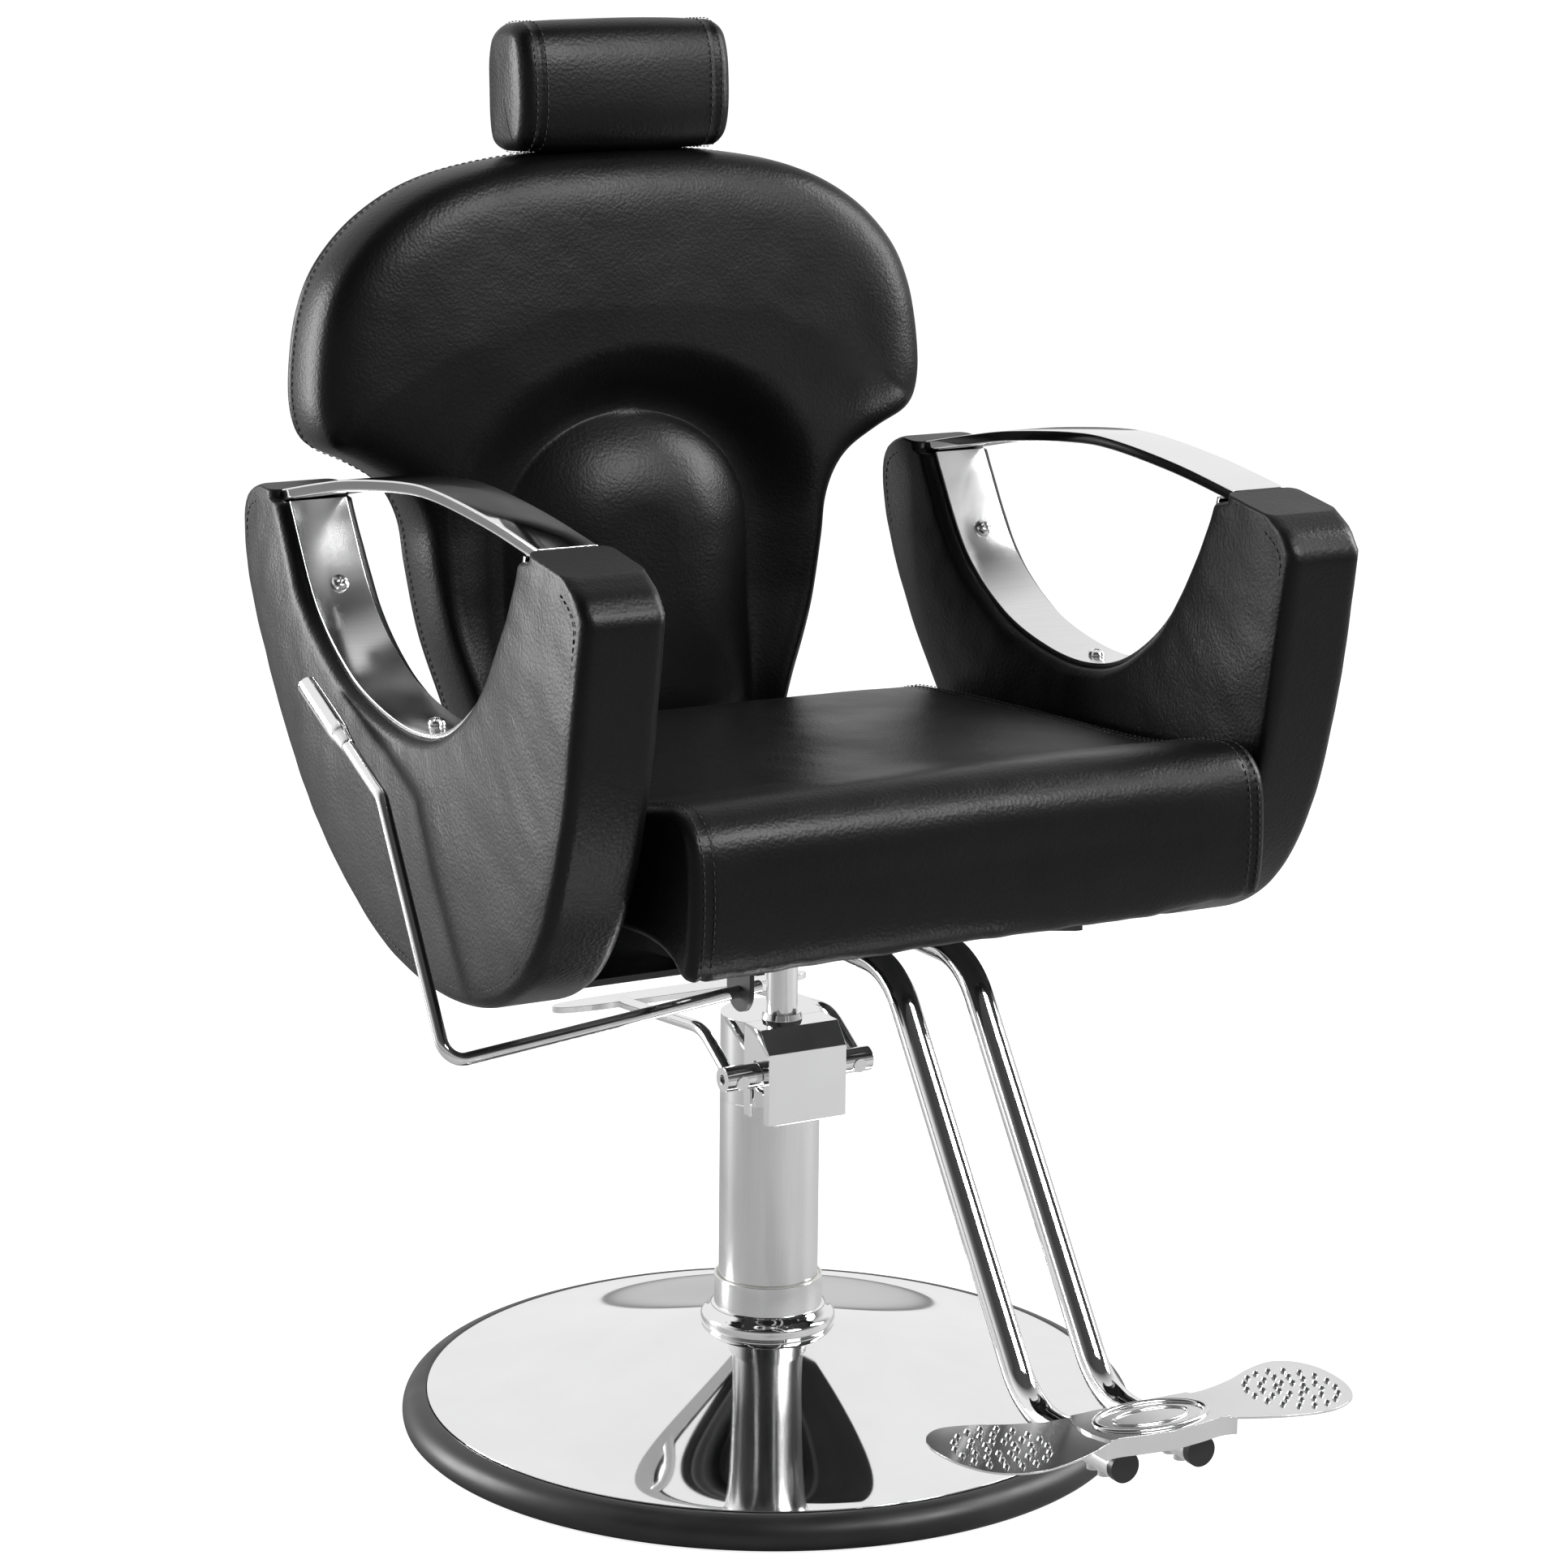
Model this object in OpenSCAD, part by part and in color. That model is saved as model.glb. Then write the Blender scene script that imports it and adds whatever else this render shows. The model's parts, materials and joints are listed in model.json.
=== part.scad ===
// Hydraulic barber chair: round base, swivelling pump column, lifting seat, reclining back.
// Millimetres, +Z up, origin on the floor at the centre of the base, which is the swivel axis.
// The chair faces -Y and the sitter's right hand side is -X.

/* [Base] */
// Outer diameter of the rubber rim
base_d = 590; // [570:5:600]
// Height of the rim
rim_h = 26; // [24:1:28]
// Height of the chrome dome where it meets the collar
dome_h = 78; // [76:1:80]

/* [Column and pump] */
// Diameter of the column tube
column_d = 80; // [78:0.5:80]
// Height of the column tube's top edge
column_top = 268; // [266:1:269]
// Height of the pump head's flat top
head_top = 337; // [337:1:339]
// Diameter of the lifting piston
piston_d = 25; // [24:0.5:26]
// Lifting travel of the piston
lift_travel = 150; // [120:5:150]
// Diameter of the cross shaft that carries the pedal
shaft_d = 20; // [18:1:20]

/* [Seat] */
// Width of the seat cushion
seat_w = 492; // [480:2:496]
// Height of the crest of the front roll
seat_crest = 588; // [584:1:592]
// Distance from the swivel axis to the front of the seat
seat_front = 322; // [316:1:326]

/* [Arms] */
// Distance from the middle of the chair to the middle of an arm
arm_x = 296; // [296:1:298]
// Thickness of an arm pad
arm_t = 66; // [60:1:66]
// Width of the chrome bar and strap
bar_w = 48; // [40:1:50]
// Thickness of the chrome arm bar
bar_t = 9; // [7:1:10]

/* [Back and headrest] */
// Half width of the back at the shoulders
back_half = 279; // [270:1:282]
// Thickness of the back cushion
back_t = 86; // [80:1:86]
// Lean of the back from vertical, in degrees
back_lean = 2.5; // [2:0.5:3]
// Width of the headrest
head_w = 194; // [180:2:220]
// Height of the headrest
head_h = 101; // [96:1:110]
// Depth of the headrest
head_depth = 72; // [70:1:90]

/* [Footrest] */
// Diameter of the footrest tubes
foot_tube_d = 22; // [20:1:22]
// Half width of the foot plate
foot_half = 165; // [155:1:170]
// Height of the foot plate's top face
foot_top = 180; // [178:1:182]

/* [Hidden] */
$fn = 96;

fit = 0.05;
band = 1.5;
band_step = 0.4;
base_r = base_d / 2;
dome_r = base_r - 20;
column_r = column_d / 2;
column_wall = 3;
bush_wall = 2;
socket_in = column_r + fit + bush_wall;
socket_out = socket_in + 4;
neck_r = 54;
plate_z = 4;
plate_t = 6;
foot_z = 30;
socket_top = 94;
band_top = 119;
band_r = socket_in + 1.5;

piston_y = -18;
piston_r = piston_d / 2;
liner_in = 15;
liner_out = 17.5;
liner_top = column_top - 6;
liner_bottom = 46;
piston_bottom = liner_bottom + 6;

shaft_y = -41;
shaft_z = 300;
shaft_half = 66;
shaft_r = shaft_d / 2;
cover_half = 35;
cover_front = -60;
cover_back = -20;
cover_bottom = 262;
chamfer_z = 320;
chamfer_y = -46;
sheet = 2;
cam_x = 24;
plunger_z = shaft_z + 16;
plunger_d = 10;
leg_d = 10;
pedal_y = 150;
pedal_z = 316;
pedal_half = 118;

seat_half = seat_w / 2;
board_t = 12;
plate_top = 424;
mount_t = 8;
rail_x = 139;
rail_t = 6;
foot_mid = rail_x - rail_t / 2 - 17;
hinge_y = 215;
hinge_z = 455;
pin_d = 12;
seat_back = 198;

arm_in = arm_x - arm_t / 2;
arm_bolt_y = [-120, 20];
arm_bolt_z = 462;
core_t = 18;
strap_t = 4;
screw_gap = 0.4;

back_face_y = 226 - hinge_y;
back_face_z = 1000;
back_bottom = 500;
back_top = 1001;
post_x = 39;
post_d = 12;
post_z0 = 900;

gas_x = -60;
gas_z = 400.5;
gas_front = -20;
lug_reach = 56.4;
lug_angle = 20;
eye_d = 13;

foot_x = 32;
foot_plate_t = 14;
foot_end = -553;
low_z = foot_top - foot_plate_t - foot_tube_d / 2 - 1;

lever_in = [-60, -87, 386.5];
lever_out = [-350, -139, 378];
lever_knee = [-350, -30, 555];
lever_tip = [-350, 60, 595];
lever_d = 10;

// Point at t on a smooth curve from b to c, with neighbours a and d.
function blend(a, b, c, d, t) =
    0.5 * (2 * b + (c - a) * t + (2 * a - 5 * b + 4 * c - d) * t * t + (3 * b - a - 3 * c + d) * t * t * t);

// Smooth open curve through the points.
function open_curve(p, n = 8) = concat(
    [for (i = [0:len(p) - 2], k = [0:n - 1])
        blend(p[max(i - 1, 0)], p[i], p[i + 1], p[min(i + 2, len(p) - 1)], k / n)],
    [p[len(p) - 1]]
);

// The points in reverse order.
function back_to_front(p) = [for (i = [len(p) - 1:-1:0]) p[i]];

// The curve moved sideways by d, to its left hand side.
function shifted(p, d) = [for (i = [0:len(p) - 1])
    let (
        a = p[max(i - 1, 0)],
        b = p[min(i + 1, len(p) - 1)],
        u = (b - a) / norm(b - a)
    )
    p[i] + d * [-u.y, u.x]
];

// Half an outline that ends on the middle line, joined to its mirror image from point first on.
function both_halves(p, first) = concat(p, [for (i = [len(p) - 2:-1:first]) [-p[i].x, p[i].y]]);

// Extrudes an outline drawn in Y and Z from x0 to x1.
module slab_yz(x0, x1) {
    translate([x0, 0, 0]) rotate([90, 0, 90]) linear_extrude(x1 - x0) children();
}

module block(low, high) {
    translate(low) cube(high - low);
}

module tube(r_in, r_out, z0, z1) {
    translate([0, 0, z0]) difference() {
        cylinder(r = r_out, h = z1 - z0);
        translate([0, 0, -1]) cylinder(r = r_in, h = z1 - z0 + 2);
    }
}

// A cylinder from point a to point b.
module bar_between(a, b, d) {
    v = b - a;
    length = norm(v);
    axis = v / length;
    side = abs(axis.x) > 0.9 ? [0, 1, 0] : [1, 0, 0];
    ey = cross(axis, side) / norm(cross(axis, side));
    ex = cross(ey, axis);
    placed(a, ex, ey, axis) cylinder(d = d, h = length);
}

module placed(at, ex, ey, ez) {
    multmatrix([
        [ex.x, ey.x, ez.x, at.x],
        [ex.y, ey.y, ez.y, at.y],
        [ex.z, ey.z, ez.z, at.z],
        [0, 0, 0, 1]
    ]) children();
}

// A round rod along the points, bent with radius r at every inner point.
module bent_rod(p, r, d) {
    last = len(p) - 1;
    dirs = [for (i = [0:last - 1]) (p[i + 1] - p[i]) / norm(p[i + 1] - p[i])];
    turns = [for (i = [1:last - 1]) acos(dirs[i - 1] * dirs[i])];
    cuts = concat([0], [for (t = turns) r * tan(t / 2)], [0]);
    for (i = [0:last - 1]) bar_between(p[i] + cuts[i] * dirs[i], p[i + 1] - cuts[i + 1] * dirs[i], d);
    // A thin band joins each bend to its straight, so the rod is one solid.
    for (i = [1:last - 1], v = [-dirs[i - 1], dirs[i]])
        bar_between(p[i] + (cuts[i] - band) * v, p[i] + (cuts[i] + band) * v, d + band_step);
    for (i = [1:last - 1]) {
        inward = dirs[i] - (dirs[i - 1] * dirs[i]) * dirs[i - 1];
        n = inward / norm(inward);
        start = p[i] - cuts[i] * dirs[i - 1];
        placed(start + r * n, -n, dirs[i - 1], cross(-n, dirs[i - 1]))
            rotate_extrude(angle = turns[i - 1]) translate([r, 0]) circle(d = d);
    }
}

module bolt_z(at, d, head_d, head_h, length) {
    translate(at) {
        cylinder(d = head_d, h = head_h);
        translate([0, 0, -length]) cylinder(d = d, h = length);
    }
}

// ---- Base ----

// Height of the dome's outer face at radius r.
function dome_z(r) = rim_h + (dome_h - rim_h) * pow(1 - (r - neck_r) / (dome_r - neck_r), 1.2);

module base_disc() {
    steps = 20;
    skin = 2.5;
    outer = [for (i = [0:steps]) let (r = dome_r + (neck_r - dome_r) * i / steps) [r, dome_z(r)]];
    inner = [for (q = back_to_front(outer)) [q.x, q.y - skin]];
    color("gainsboro") rotate_extrude() polygon(concat(
        [[dome_r, rim_h - 4]],
        outer,
        [[socket_out, dome_h], [socket_out, dome_h - skin]],
        [for (q = inner) if (q.x < dome_r - 3) q],
        [[dome_r - skin, rim_h - 4]]
    ));
}

module base_rim() {
    round_r = 16;
    arc = [for (a = [0:10:80]) [base_r - round_r + round_r * cos(a), 8 + round_r * sin(a)]];
    color([0.16, 0.16, 0.17]) rotate_extrude() polygon(concat(
        [[dome_r - 14, 0], [base_r - 4, 0], [base_r, 4]],
        arc,
        [[dome_r, rim_h], [dome_r, rim_h - 4], [dome_r - 14, rim_h - 4]]
    ));
}

module base_plate() {
    color("dimgray") difference() {
        tube(column_r / 2, dome_r - 14, plate_z, plate_z + plate_t);
        for (a = [45:90:315]) rotate(a) translate([66, 0, plate_z - 1]) cylinder(d = 12.5, h = plate_t + 2);
    }
}

module base_socket() {
    flange_r = 84;
    flange_t = 8;
    low = plate_z + plate_t;
    color("slategray") difference() {
        union() {
            tube(socket_in, socket_out, low, socket_top);
            tube(column_r / 2, flange_r, low, low + flange_t);
        }
        for (a = [45:90:315]) rotate(a) translate([66, 0, low - 1]) cylinder(d = 12.5, h = flange_t + 2);
    }
}

module socket_bolts() {
    seat_z = plate_z + plate_t + 8;
    color("silver") for (a = [45:90:315]) rotate(a) bolt_z([66, 0, seat_z], 12, 18, 7.5, seat_z - plate_z);
}

module base_collar() {
    color("gainsboro") rotate_extrude() polygon([
        [socket_out, dome_h], [neck_r - 0.8, dome_h], [neck_r, dome_h + 1.5], [neck_r, dome_h + 8],
        [neck_r - 1.5, dome_h + 10.5], [neck_r - 5, dome_h + 13.5], [band_r + 2.5, socket_top + 1.2],
        [band_r, socket_top + 1.2], [band_r, socket_top], [socket_out, socket_top]
    ]);
}

module collar_band() {
    color("silver") tube(socket_in, band_r, socket_top, band_top);
}

module swivel_bush() {
    color("ivory") tube(column_r + fit, socket_in, foot_z, band_top - 1);
}

module thrust_washer() {
    color("ivory") tube(column_r / 2, column_r - 1, plate_z + plate_t + 8, foot_z);
}

// ---- Column and pump ----

module column_tube() {
    color("silver") tube(column_r - column_wall, column_r, foot_z, column_top);
}

module column_foot() {
    color("slategray") difference() {
        translate([0, 0, foot_z]) cylinder(r = column_r - column_wall, h = 16);
        translate([0, 0, foot_z - 1]) cylinder(r = 6, h = 9);
    }
}

module cylinder_liner() {
    color("slategray") translate([0, piston_y, 0]) tube(liner_in, liner_out, liner_bottom, liner_top);
}

module pump_head() {
    block_half = cover_half - sheet - 0.5;
    block_low = 284;
    bore_r = piston_r + fit;
    neck_len = column_top - liner_top;
    color("gainsboro") difference() {
        union() {
            translate([0, 0, column_top]) cylinder(r = column_r, h = head_top - column_top);
            translate([0, 0, liner_top]) cylinder(r = column_r - column_wall, h = neck_len);
            block([-block_half, chamfer_y + 1, block_low], [block_half, cover_back, head_top - sheet]);
        }
        block([-cover_half - 0.1, cover_front, cover_bottom], [-block_half, cover_back, head_top + 1]);
        block([block_half, cover_front, cover_bottom], [cover_half + 0.1, cover_back, head_top + 1]);
        block([-cover_half, cover_front, head_top - sheet], [cover_half, cover_back, head_top + 1]);
        block([-cover_half, cover_front, cover_bottom], [cover_half, -34, block_low]);
        translate([0, piston_y, liner_top - 1]) cylinder(r = bore_r, h = head_top);
        translate([0, piston_y, head_top - sheet]) cylinder(r = piston_r + 4.5, h = sheet + 1);
        translate([-cover_half, shaft_y, shaft_z]) rotate([0, 90, 0])
            cylinder(r = shaft_r + fit, h = 2 * cover_half);
        translate([-cover_half, shaft_y, shaft_z]) rotate([0, 90, 0]) cylinder(r = 14.5, h = 23);
        block([14, cover_front, shaft_z - 13], [cover_half, -29, shaft_z + 26]);
        translate([cam_x, -40, plunger_z]) rotate([-90, 0, 0]) cylinder(d = plunger_d + 2 * fit, h = 42);
    }
}

module pump_cover() {
    slot = shaft_r + 1;
    side = [
        [cover_back, head_top], [chamfer_y, head_top], [cover_front, chamfer_z],
        [cover_front, cover_bottom], [cover_back, cover_bottom]
    ];
    hollow = [
        [cover_back + 1, head_top - sheet], [chamfer_y + 0.8, head_top - sheet],
        [cover_front + sheet, chamfer_z - 0.8], [cover_front + sheet, cover_bottom - 1],
        [cover_back + 1, cover_bottom - 1]
    ];
    color("gainsboro") difference() {
        slab_yz(-cover_half, cover_half) polygon(side);
        slab_yz(-cover_half + sheet, cover_half - sheet) polygon(hollow);
        translate([-cover_half - 1, shaft_y, shaft_z]) rotate([0, 90, 0])
            cylinder(r = slot, h = 2 * cover_half + 2);
        block([-cover_half - 1, shaft_y - slot, cover_bottom - 1], [cover_half + 1, shaft_y + slot, shaft_z]);
        translate([0, 0, cover_bottom - 1]) cylinder(r = column_r + 0.2, h = column_top - cover_bottom + 1);
        translate([0, 0, column_top - 1]) cylinder(r = column_r, h = head_top - sheet - column_top + 1);
        translate([0, piston_y, cover_bottom]) cylinder(r = piston_r + 4.5, h = head_top);
    }
}

module gland_ring() {
    color("silver") translate([0, piston_y, 0]) difference() {
        union() {
            translate([0, 0, head_top - sheet]) cylinder(r = piston_r + 4.5, h = sheet);
            translate([0, 0, head_top]) cylinder(r1 = piston_r + 4.5, r2 = piston_r + 3, h = 5);
        }
        translate([0, 0, head_top - sheet - 1]) cylinder(r = piston_r + fit, h = 10);
    }
}

module lever_spring() {
    wire = 2.6;
    color("dimgray") for (i = [0:5])
        translate([-31.5 + wire / 2 + i * wire, shaft_y, shaft_z]) rotate([0, 90, 0])
            rotate_extrude() translate([12.2, 0]) circle(d = wire);
}

module pump_shaft() {
    color("gainsboro") difference() {
        union() {
            translate([-shaft_half, shaft_y, shaft_z]) rotate([0, 90, 0]) cylinder(r = shaft_r, h = 2 * shaft_half);
            block([cam_x - 6, shaft_y - 4, shaft_z], [cam_x + 6, shaft_y + 1.5, plunger_z + 5]);
        }
        for (s = [-1, 1]) translate([s * shaft_half, shaft_y, shaft_z]) rotate([0, 90, 0])
            cylinder(d = 8, h = 16, center = true);
        rivets(8);
    }
}

module pedal_outline() {
    edge = open_curve([
        [-pedal_half, 2], [-pedal_half + 8, 7], [-80, 11], [0, 12], [80, 11], [pedal_half - 8, 7], [pedal_half, 2]
    ], 6);
    polygon(concat(edge, [for (q = back_to_front(edge)) [q.x, -q.y]]));
}

module pump_lever() {
    leg_x = shaft_half - 8;
    color("gainsboro") for (s = [-1, 1]) difference() {
        bent_rod([
            [s * leg_x, shaft_y + 2, shaft_z + 1], [s * leg_x, 6, shaft_z + 29], [s * leg_x, pedal_y, pedal_z]
        ], 44, leg_d);
        translate([s * leg_x, shaft_y, shaft_z]) rotate([0, 90, 0]) cylinder(r = shaft_r, h = 16, center = true);
        translate([0, pedal_y, pedal_z - 2 * leg_d]) linear_extrude(4 * leg_d) pedal_outline();
    }
}

module pump_pedal() {
    color("gainsboro") translate([0, pedal_y, pedal_z - 2.5]) linear_extrude(5) pedal_outline();
}

module rivets(h) {
    for (s = [-1, 1]) translate([s * (shaft_half - 13), shaft_y - shaft_r + 2, shaft_z - 2])
        rotate([90, 0, 0]) cylinder(d = 11, h = h);
}

module lever_rivets() {
    color("silver") rivets(3);
}

module pump_plunger() {
    color("silver") translate([cam_x, shaft_y + 2.2, plunger_z]) rotate([-90, 0, 0]) cylinder(d = plunger_d, h = 30);
}

// ---- Seat body: lifting piston and everything fixed to it ----

module piston_rod() {
    color("gainsboro") translate([0, piston_y, piston_bottom + 20])
        cylinder(r = piston_r, h = plate_top - mount_t - piston_bottom - 20);
}

module piston_head() {
    groove = 1.8;
    color("slategray") translate([0, piston_y, piston_bottom]) difference() {
        cylinder(r = liner_in - fit, h = 20);
        difference() {
            translate([0, 0, 7]) cylinder(r = liner_in + 1, h = 5);
            cylinder(r = liner_in - groove, h = 20);
        }
    }
}

module piston_seal() {
    color([0.1, 0.1, 0.1]) translate([0, piston_y, piston_bottom + 7]) difference() {
        cylinder(r = liner_in - fit, h = 5);
        translate([0, 0, -1]) cylinder(r = liner_in - 1.8, h = 7);
    }
}

module mount_plate() {
    half = 142;
    hub_r = 24;
    bottom = plate_top - mount_t;
    color("dimgray") difference() {
        union() {
            block([-half, -125, bottom], [half, 95, plate_top]);
            translate([0, piston_y, bottom - 20]) cylinder(r1 = hub_r - 5, r2 = hub_r, h = 20);
        }
        translate([0, piston_y, bottom - 21]) cylinder(r = piston_r, h = 21);
        for (x = [-foot_mid, foot_mid], y = [-100, 70])
            translate([x, y, bottom - 1]) cylinder(d = 8.4, h = mount_t + 2);
    }
}

module mount_bolts() {
    bottom = plate_top - mount_t;
    color("silver") for (x = [-foot_mid, foot_mid], y = [-100, 70]) translate([x, y, bottom]) {
        translate([0, 0, -5]) cylinder(d = 14, h = 5);
        cylinder(d = 8, h = mount_t + 5.5);
    }
}

// Height of the underside of the seat board, which slopes down to the back.
function board_z(y) = 452 - 0.0785 * y;

module seat_frame() {
    color("dimgray") for (s = [-1, 1]) difference() {
        union() {
            slab_yz(s * rail_x - rail_t / 2, s * rail_x + rail_t / 2) polygon([
                [-230, board_z(-230)], [-230, 440], [-160, plate_top], [hinge_y - 30, plate_top],
                [hinge_y + 10, hinge_z - 16], [hinge_y, hinge_z], [182, board_z(180) - 0.5],
                [170, board_z(170)]
            ]);
            translate([s * rail_x - rail_t / 2, hinge_y, hinge_z]) rotate([0, 90, 0]) cylinder(r = 16.5, h = rail_t);
            block([s * foot_mid - 17, -125, plate_top], [s * foot_mid + 17, 95, plate_top + 5]);
        }
        translate([s * rail_x - 10, hinge_y, hinge_z]) rotate([0, 90, 0]) cylinder(d = pin_d, h = 20);
        for (y = [-100, 70]) translate([s * foot_mid, y, plate_top - 1]) cylinder(d = 8.4, h = 8);
    }
}

module seat_board() {
    color("burlywood") slab_yz(-seat_half + 14, seat_half - 14) polygon([
        [-seat_front + 22, board_z(-seat_front + 22)], [180, board_z(180)],
        [180, board_z(180) + board_t], [-seat_front + 22, board_z(-seat_front + 22) + board_t]
    ]);
}

module seat_cushion() {
    front_bottom = 470;
    top = open_curve([
        [-seat_front + 6, front_bottom + 4], [-seat_front, front_bottom + 50], [-seat_front + 6, seat_crest - 18],
        [-seat_front + 40, seat_crest], [-seat_front + 90, seat_crest - 8], [-seat_front + 150, seat_crest - 20],
        [0, 560], [seat_back - 14, 543], [seat_back, 530]
    ], 6);
    color([0.12, 0.12, 0.13]) slab_yz(-seat_half, seat_half) polygon(concat(
        top,
        [
            [seat_back, board_z(180) + board_t], [-seat_front + 22, board_z(-seat_front + 22) + board_t],
            [-seat_front + 22, front_bottom], [-seat_front + 12, front_bottom]
        ]
    ));
}

module arm_brackets() {
    low = plate_top;
    reach_in = rail_x + rail_t / 2;
    reach_out = arm_in - fit;
    color("dimgray") for (s = [-1, 1]) difference() {
        union() {
            slab_yz(min(s * reach_in, s * reach_out), max(s * reach_in, s * reach_out))
                polygon([[-150, low], [50, low], [50, low + 5], [-150, low + 5]]);
            slab_yz(min(s * (reach_out - 5), s * reach_out), max(s * (reach_out - 5), s * reach_out))
                polygon([[-150, low], [50, low], [50, arm_bolt_z + 14], [-150, arm_bolt_z + 14]]);
        }
        for (y = arm_bolt_y) translate([s * (arm_in - 20), y, arm_bolt_z]) rotate([0, s * 90, 0])
            cylinder(d = 8.4, h = 30);
    }
}

module arm_bolts() {
    color("silver") for (s = [-1, 1], y = arm_bolt_y) translate([s * (arm_in - fit - 5), y, arm_bolt_z])
        rotate([0, s * 90, 0]) {
            cylinder(d = 8, h = 40);
            translate([0, 0, -5]) cylinder(d = 13, h = 5);
        }
}

// ---- Arms ----
// Outlines are in Y and Z, with the front of the chair at negative Y.

// Curve of the U shaped opening, from the back down and up to the front.
arm_u = open_curve([
    [214, 752], [200, 726], [156, 662], [94, 620], [26, 601], [-36, 598], [-90, 612], [-143, 649], [-181, 700],
    [-204, 744], [-212, 772]
], 6);

// Top face of the chrome bar, from the back to the front.
arm_arch = open_curve([[221, 748], [150, 763], [90, 774], [0, 785], [-60, 787], [-148, 780], [-227, 769]], 6);

// Outside of the pad from the front top corner, down the front, under and up the back.
arm_edge = open_curve([
    [-318, 738], [-311, 690], [-296, 610], [-277, 545], [-249, 488], [-211, 446], [-155, 420], [-80, 411],
    [3, 421], [75, 451], [152, 504], [227, 590], [272, 668], [283, 716], [275, 738]
], 6);

module arm_outline() {
    difference() {
        polygon(concat(arm_edge, [[250, 748], [221, 748], [-227, 769], [-296, 760]]));
        polygon(concat(arm_u, [[-212, 810], [214, 810]]));
        polygon(concat(arm_arch, back_to_front(shifted(arm_arch, bar_t))));
    }
}

module core_outline() {
    difference() {
        polygon(concat(shifted(arm_edge, 14), [[236, 720], [-230, 740]]));
        polygon(concat(arm_u, [[-227, 810], [221, 810]]));
    }
}

module arm_bolt_holes(s) {
    for (y = arm_bolt_y) translate([s * (arm_in - 1), y, arm_bolt_z]) rotate([0, s * 90, 0])
        cylinder(d = 8, h = 42);
}

module arm_core(s) {
    color("burlywood") difference() {
        slab_yz(s * arm_x - core_t / 2, s * arm_x + core_t / 2) core_outline();
        arm_bolt_holes(s);
        for (i = strap_screws) on_strap(s, i) translate([0, 0, -24]) cylinder(d = 5, h = 25);
    }
}

module arm_core_right() { arm_core(-1); }
module arm_core_left() { arm_core(1); }

module arm_pad(s) {
    color([0.13, 0.13, 0.14]) difference() {
        slab_yz(s * arm_x - arm_t / 2, s * arm_x + arm_t / 2) arm_outline();
        slab_yz(s * arm_x - core_t / 2, s * arm_x + core_t / 2)
            polygon(concat(shifted(arm_edge, 14), [[236, 720], [-230, 740]]));
        arm_bolt_holes(s);
    }
}

module arm_pad_right() { arm_pad(-1); }
module arm_pad_left() { arm_pad(1); }

module arm_strap(s) {
    color("silver") difference() {
        slab_yz(s * arm_x - bar_w / 2, s * arm_x + bar_w / 2) intersection() {
            polygon(concat(arm_u, back_to_front(shifted(arm_u, -strap_t))));
            polygon(concat(shifted(arm_arch, bar_t), [[-240, 560], [240, 560]]));
        }
        for (i = strap_screws) on_strap(s, i) translate([0, 0, -24]) cylinder(d = 5, h = 25);
    }
}

module arm_strap_right() { arm_strap(-1); }
module arm_strap_left() { arm_strap(1); }

module arm_bar(s) {
    color("gainsboro") slab_yz(s * arm_x - bar_w / 2, s * arm_x + bar_w / 2)
        polygon(concat(arm_arch, back_to_front(shifted(arm_arch, bar_t))));
}

module arm_bar_right() { arm_bar(-1); }
module arm_bar_left() { arm_bar(1); }

// Facets of the strap's curve that its screws go through.
strap_screws = [10, 27, 47];

// Puts a shape drawn upright on the strap's face, in the middle of facet i of its curve.
module on_strap(s, i) {
    along = (arm_u[i + 1] - arm_u[i]) / norm(arm_u[i + 1] - arm_u[i]);
    mid = (arm_u[i + 1] + arm_u[i]) / 2;
    up = [0, along.y, -along.x];
    placed([s * arm_x, mid.x, mid.y] + (strap_t + screw_gap) * up, [1, 0, 0], cross(up, [1, 0, 0]), up) children();
}

// Pan head screws with a cross recess, through the strap into the wood.
module arm_screws(s) {
    color("silver") for (i = strap_screws) on_strap(s, i) difference() {
        union() {
            rotate_extrude() polygon([[0, 0], [7, 0], [7, 1.5], [6, 3.2], [3.6, 4.3], [0, 4.6]]);
            translate([0, 0, -24]) cylinder(d = 5, h = 25);
        }
        for (a = [0, 90]) rotate(a) translate([-3, -0.8, 2.4]) cube([6, 1.6, 3]);
    }
}

module arm_screws_right() { arm_screws(-1); }
module arm_screws_left() { arm_screws(1); }

// ---- Footrest ----

module footrest_tube(s) {
    top_z = plate_top + foot_tube_d / 2;
    color("gainsboro") bent_rod([
        [s * foot_x, -50, top_z], [s * foot_x, -240, top_z], [s * foot_x, -436, low_z], [s * foot_x, foot_end, low_z]
    ], 62, foot_tube_d);
}

// The straight parts of both tubes under the foot plate, with diameter d.
module low_tubes(d) {
    for (s = [-1, 1]) bar_between([s * foot_x, -500, low_z], [s * foot_x, foot_end, low_z], d);
}

module footrest_tube_right() { footrest_tube(-1); }
module footrest_tube_left() { footrest_tube(1); }

module footrest_clamp() {
    low = plate_top + foot_tube_d;
    color("dimgray") difference() {
        block([-62, -118, plate_top], [62, -88, low + 5]);
        for (s = [-1, 1]) bar_between([s * foot_x, -130, plate_top + foot_tube_d / 2],
            [s * foot_x, -80, plate_top + foot_tube_d / 2], foot_tube_d + 2 * fit);
        block([-17, -130, plate_top - 1], [17, -80, low]);
    }
}

// Front and back edges of one half of the foot plate, from the middle outwards.
foot_back = [[0, -513], [30, -514], [62, -514], [92, -506], [118, -494], [142, -489], [159, -500], [166, -522]];
foot_front = [[163, -552], [150, -576], [125, -588], [96, -585], [70, -576], [48, -567], [24, -570],
    [0, -573]];

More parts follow.
